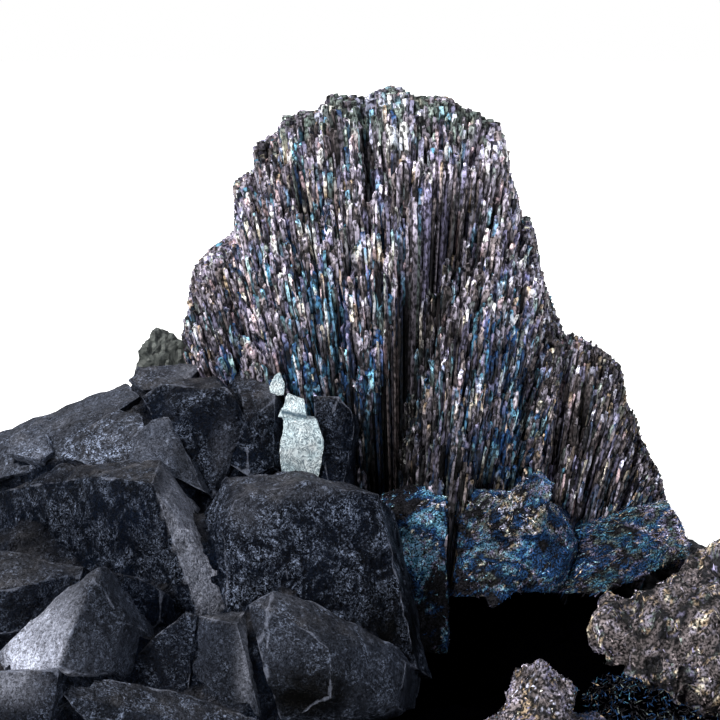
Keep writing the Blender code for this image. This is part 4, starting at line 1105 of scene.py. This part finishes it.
FRONT_GROUP = {"broad_left", "broad_right", "low_centre", "upright_blade", "left_triangle",
               "pyramid", "wedge", "dark_fin", "front_strip", "foot_block"}
for group in ("front", "rear"):
    every, faces, tints, edges, spots, base_index = [], [], [], [], [], 0
    for seed, (name, (front, back)) in enumerate(TABLETS.items()):
        if (name in FRONT_GROUP) != (group == "front"):
            continue
        corners = np.vstack([front, np.array(front) + back])
        corners[:, 2] = np.maximum(corners[:, 2], FOOT_CLEAR)
        points, normals, part, creases = faceted(corners, TABLET_PITCH)
        gap = edge_distance(points, creases)
        push = 0.07 * fractal(points, 1.4, seed, 3) + 0.10 * fractal(points, 5.0, seed + 3, 2)
        push += STEP * (crumbs(points + push[:, None], 2.6, seed)[1] - 0.5)
        chip = CHIP * np.clip(fractal(points, 2.0, seed + 5, 3) + 0.2, 0, 1) * np.exp(-gap / 0.5)
        points = points + normals * (push - chip)[:, None]
        points[:, 2] = np.maximum(points[:, 2], FOOT_CLEAR)
        tone, thick = TABLET_LOOKS.get(name, PLAIN_LOOK)
        tint, highlight_and_shade = tone_colours(tone, points, normals, LIGHT_AND_SHADE_PATCHES.get(name, ()))
        every.append(points)
        faces.append(part + base_index)
        tints.append(tint)
        edges.append(gap)
        spots.append(thick * np.exp(-6 * np.abs(highlight_and_shade)))
        base_index += len(points)
    cluster = put_mesh("tablets_" + group, boxed(np.vstack(every) + SHIFT), np.vstack(faces),
                       tablet_metal, tarnish=np.vstack(tints), edge=np.concatenate(edges),
                       flecked=np.concatenate(spots))
    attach(cluster, "root")
    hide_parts("tabular_crystals")

# The common root: the solid itself, drawn in a little so that it only fills between crystals.
ROOT_VOXEL, ROOT_INSET = 1.2, 0.75         # mm
points, normals, faces = even_copy("tabular_crystals", ROOT_VOXEL)
points, _, own = broken(points - ROOT_INSET * normals, normals, 4.0, 0.2, 1.2, 30)
roots = put_mesh("tablet_roots", points, faces, tablet_metal, edge=2 + own, flecked=0.4 * own,
                 tarnish=tone_colours(0.03, points, normals)[0])
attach(roots, "root")
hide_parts("tabular_crystals")

# ---------------------------------------------------------------------------------------------
# Silver crystal: a small bright crystal with crackled, crinkled faces, standing among the
# tablets in front of the tall spray, and a splinter of it on the tablet to its left.
SILVER_PALE, SILVER_BLUE, SILVER_CRACK_AND_SHADE = "#ffffff", "#bfe3f0", "#435c6c"
SILVER_CLOUDS, SILVER_CREASES = 600.0, 950.0     # noise cells to the metre: 1.7 and 1.1 mm wide
SILVER_PITCH = 0.18                        # half the longest edge of its triangles, mm
SILVER_DRAWN = 0.6                         # under 1, it draws the creases out along its height
# The seam under the cap is painted dark as shade.
CAP_SEAM = (-7.8, 36.7)                    # a place (x, z) on the dark seam under its cap, mm
SEAM_FALL = 0.2                            # how steeply the seam falls to the right
SEAM_MIDDLE, SEAM_HALF = -7.7, 1.5         # its middle (x) and half its length, mm
SILVER = [                                 # corners of the body, its cap and the splinter
    [(-9.2, -15.2, 29.8), (-4.6, -15.0, 29.8), (-9.4, -15.6, 32.4), (-4.2, -15.2, 33.8),
     (-8.9, -15.0, 36.0), (-5.0, -15.0, 36.0), (-8.2, -14.4, 27.0), (-5.6, -14.2, 27.0),
     (-8.8, -11.5, 29.5), (-5.0, -11.5, 29.5), (-8.6, -11.5, 36.0), (-5.4, -11.5, 35.6)],
    [(-9.5, -14.8, 36.4), (-6.2, -14.9, 36.4), (-8.4, -14.0, 39.0), (-6.6, -14.0, 38.3),
     (-8.6, -14.2, 35.4), (-6.4, -14.2, 35.4), (-9.0, -11.8, 36.2), (-6.4, -11.8, 36.2)],
    [(-10.7, -8.7, 37.4), (-9.2, -8.7, 37.6), (-10.9, -8.5, 38.5), (-9.0, -8.3, 38.9),
     (-9.6, -8.1, 40.3), (-10.2, -8.2, 39.9), (-10.7, -7.2, 37.4), (-9.2, -7.2, 37.6)]]
# Bright crystal: crinkled faces of a glossy white to ice blue, split by fine grey-blue cracks,
# and painted dark as shade along the seam under its cap.
silver, tree, shader = new_material("bright_crackled_crystal")
place = node(tree, "TexCoord").outputs["Object"]
bent = node(tree, "TexNoise", Vector=place, Scale=SILVER_CLOUDS, Detail=3.0)
drawn = node(tree, "Mapping", Vector=place, Scale=(1.0, 1.0, SILVER_DRAWN))
creased = node(tree, "TexNoise", Vector=drawn.outputs["Vector"], Scale=SILVER_CREASES, Detail=3.0,
               Roughness=0.65, Distortion=2.5)
ridge = node(tree, "Math", {"operation": "PINGPONG"}, in0=creased.outputs["Fac"], in1=0.5)
crack_and_shade = node(tree, "MapRange", Value=ridge.outputs[0], From_Min=0.435, From_Max=0.49,
             To_Min=1.0, To_Max=0.15)
seam = node(tree, "Attribute", {"attribute_name": "seam"}).outputs["Fac"]
crack_and_shade = node(tree, "Math", {"operation": "MULTIPLY"}, in0=crack_and_shade.outputs[0], in1=seam)
tone = node(tree, "MixRGB", Fac=bent.outputs["Fac"], Color1=(*linear(SILVER_PALE), 1),
            Color2=(*linear(SILVER_BLUE), 1))
cracked = node(tree, "MixRGB", Fac=crack_and_shade.outputs[0], Color1=(*linear(SILVER_CRACK_AND_SHADE), 1),
               Color2=tone.outputs["Color"])
relief = node(tree, "Bump", Height=creased.outputs["Fac"], Strength=0.8, Distance=0.0003)
feed(tree, shader, Base_Color=cracked.outputs["Color"], Normal=relief.outputs["Normal"],
     Metallic=0.1, Roughness=0.3)
every, faces, base_index = [], [], 0
for seed, corners in enumerate(SILVER):
    points, normals, part, creases = faceted(corners, SILVER_PITCH)
    gap = edge_distance(points, creases)
    push = 0.12 * fractal(points * (1.0, 1.0, SILVER_DRAWN), 0.9, seed + 41, 3)
    chip = 0.2 * np.clip(fractal(points, 0.9, seed + 45, 2), 0, 1) * np.exp(-gap / 0.3)
    every.append(points + normals * (push - chip)[:, None])
    faces.append(part + base_index)
    base_index += len(points)
every = np.vstack(every)
# Painted shade along the seam under the cap.
off = np.abs(every[:, 2] - CAP_SEAM[1] + SEAM_FALL * (every[:, 0] - CAP_SEAM[0]))
off += 9 * (np.abs(every[:, 0] - SEAM_MIDDLE) > SEAM_HALF)
bright = put_mesh("silver_crystal_faces", boxed(every + SHIFT), np.vstack(faces), silver,
                  seam=np.clip(off / 0.3 - 0.3, 0, 1))
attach(bright, "root")
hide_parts("silver_crystal")

# ---------------------------------------------------------------------------------------------
# Rear crystal: a blunt grey-green crystal that shows over the tablets' roof at the left, with
# scalloped layers.
GREY_DARK, GREY_LIGHT = "#2b302f", "#7c827f"
GREY_CLOUDS = 450.0                        # noise cells to the metre: 2.2 mm wide
REAR_VOXEL = 0.4                           # mm between the points of its surface
# Grey-green crystal: satin faces, clouded dark and pale.
grey, tree, shader = new_material("layered_grey_crystal")
place = node(tree, "TexCoord").outputs["Object"]
cloud = node(tree, "TexNoise", Vector=place, Scale=GREY_CLOUDS, Detail=8.0, Roughness=0.7,
             Distortion=1.0)
tone = node(tree, "ValToRGB", Fac=cloud.outputs["Fac"])
for stop, colour, level in zip(tone.color_ramp.elements, (GREY_DARK, GREY_LIGHT), (0.38, 0.68)):
    stop.color, stop.position = (*linear(colour), 1), level
relief = node(tree, "Bump", Height=cloud.outputs["Fac"], Strength=0.8, Distance=0.0005)
feed(tree, shader, Base_Color=tone.outputs["Color"], Normal=relief.outputs["Normal"],
     Metallic=0.2, Roughness=0.42)
points, normals, faces = even_copy("rear_crystal", REAR_VOXEL)
points, _, _ = broken(points, normals, 3.5, 0.25, 0.9, 51, (1.0, 1.0, 0.6))
rear = put_mesh("rear_crystal_layers", points, faces, grey)
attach(rear, "root")
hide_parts("rear_crystal")
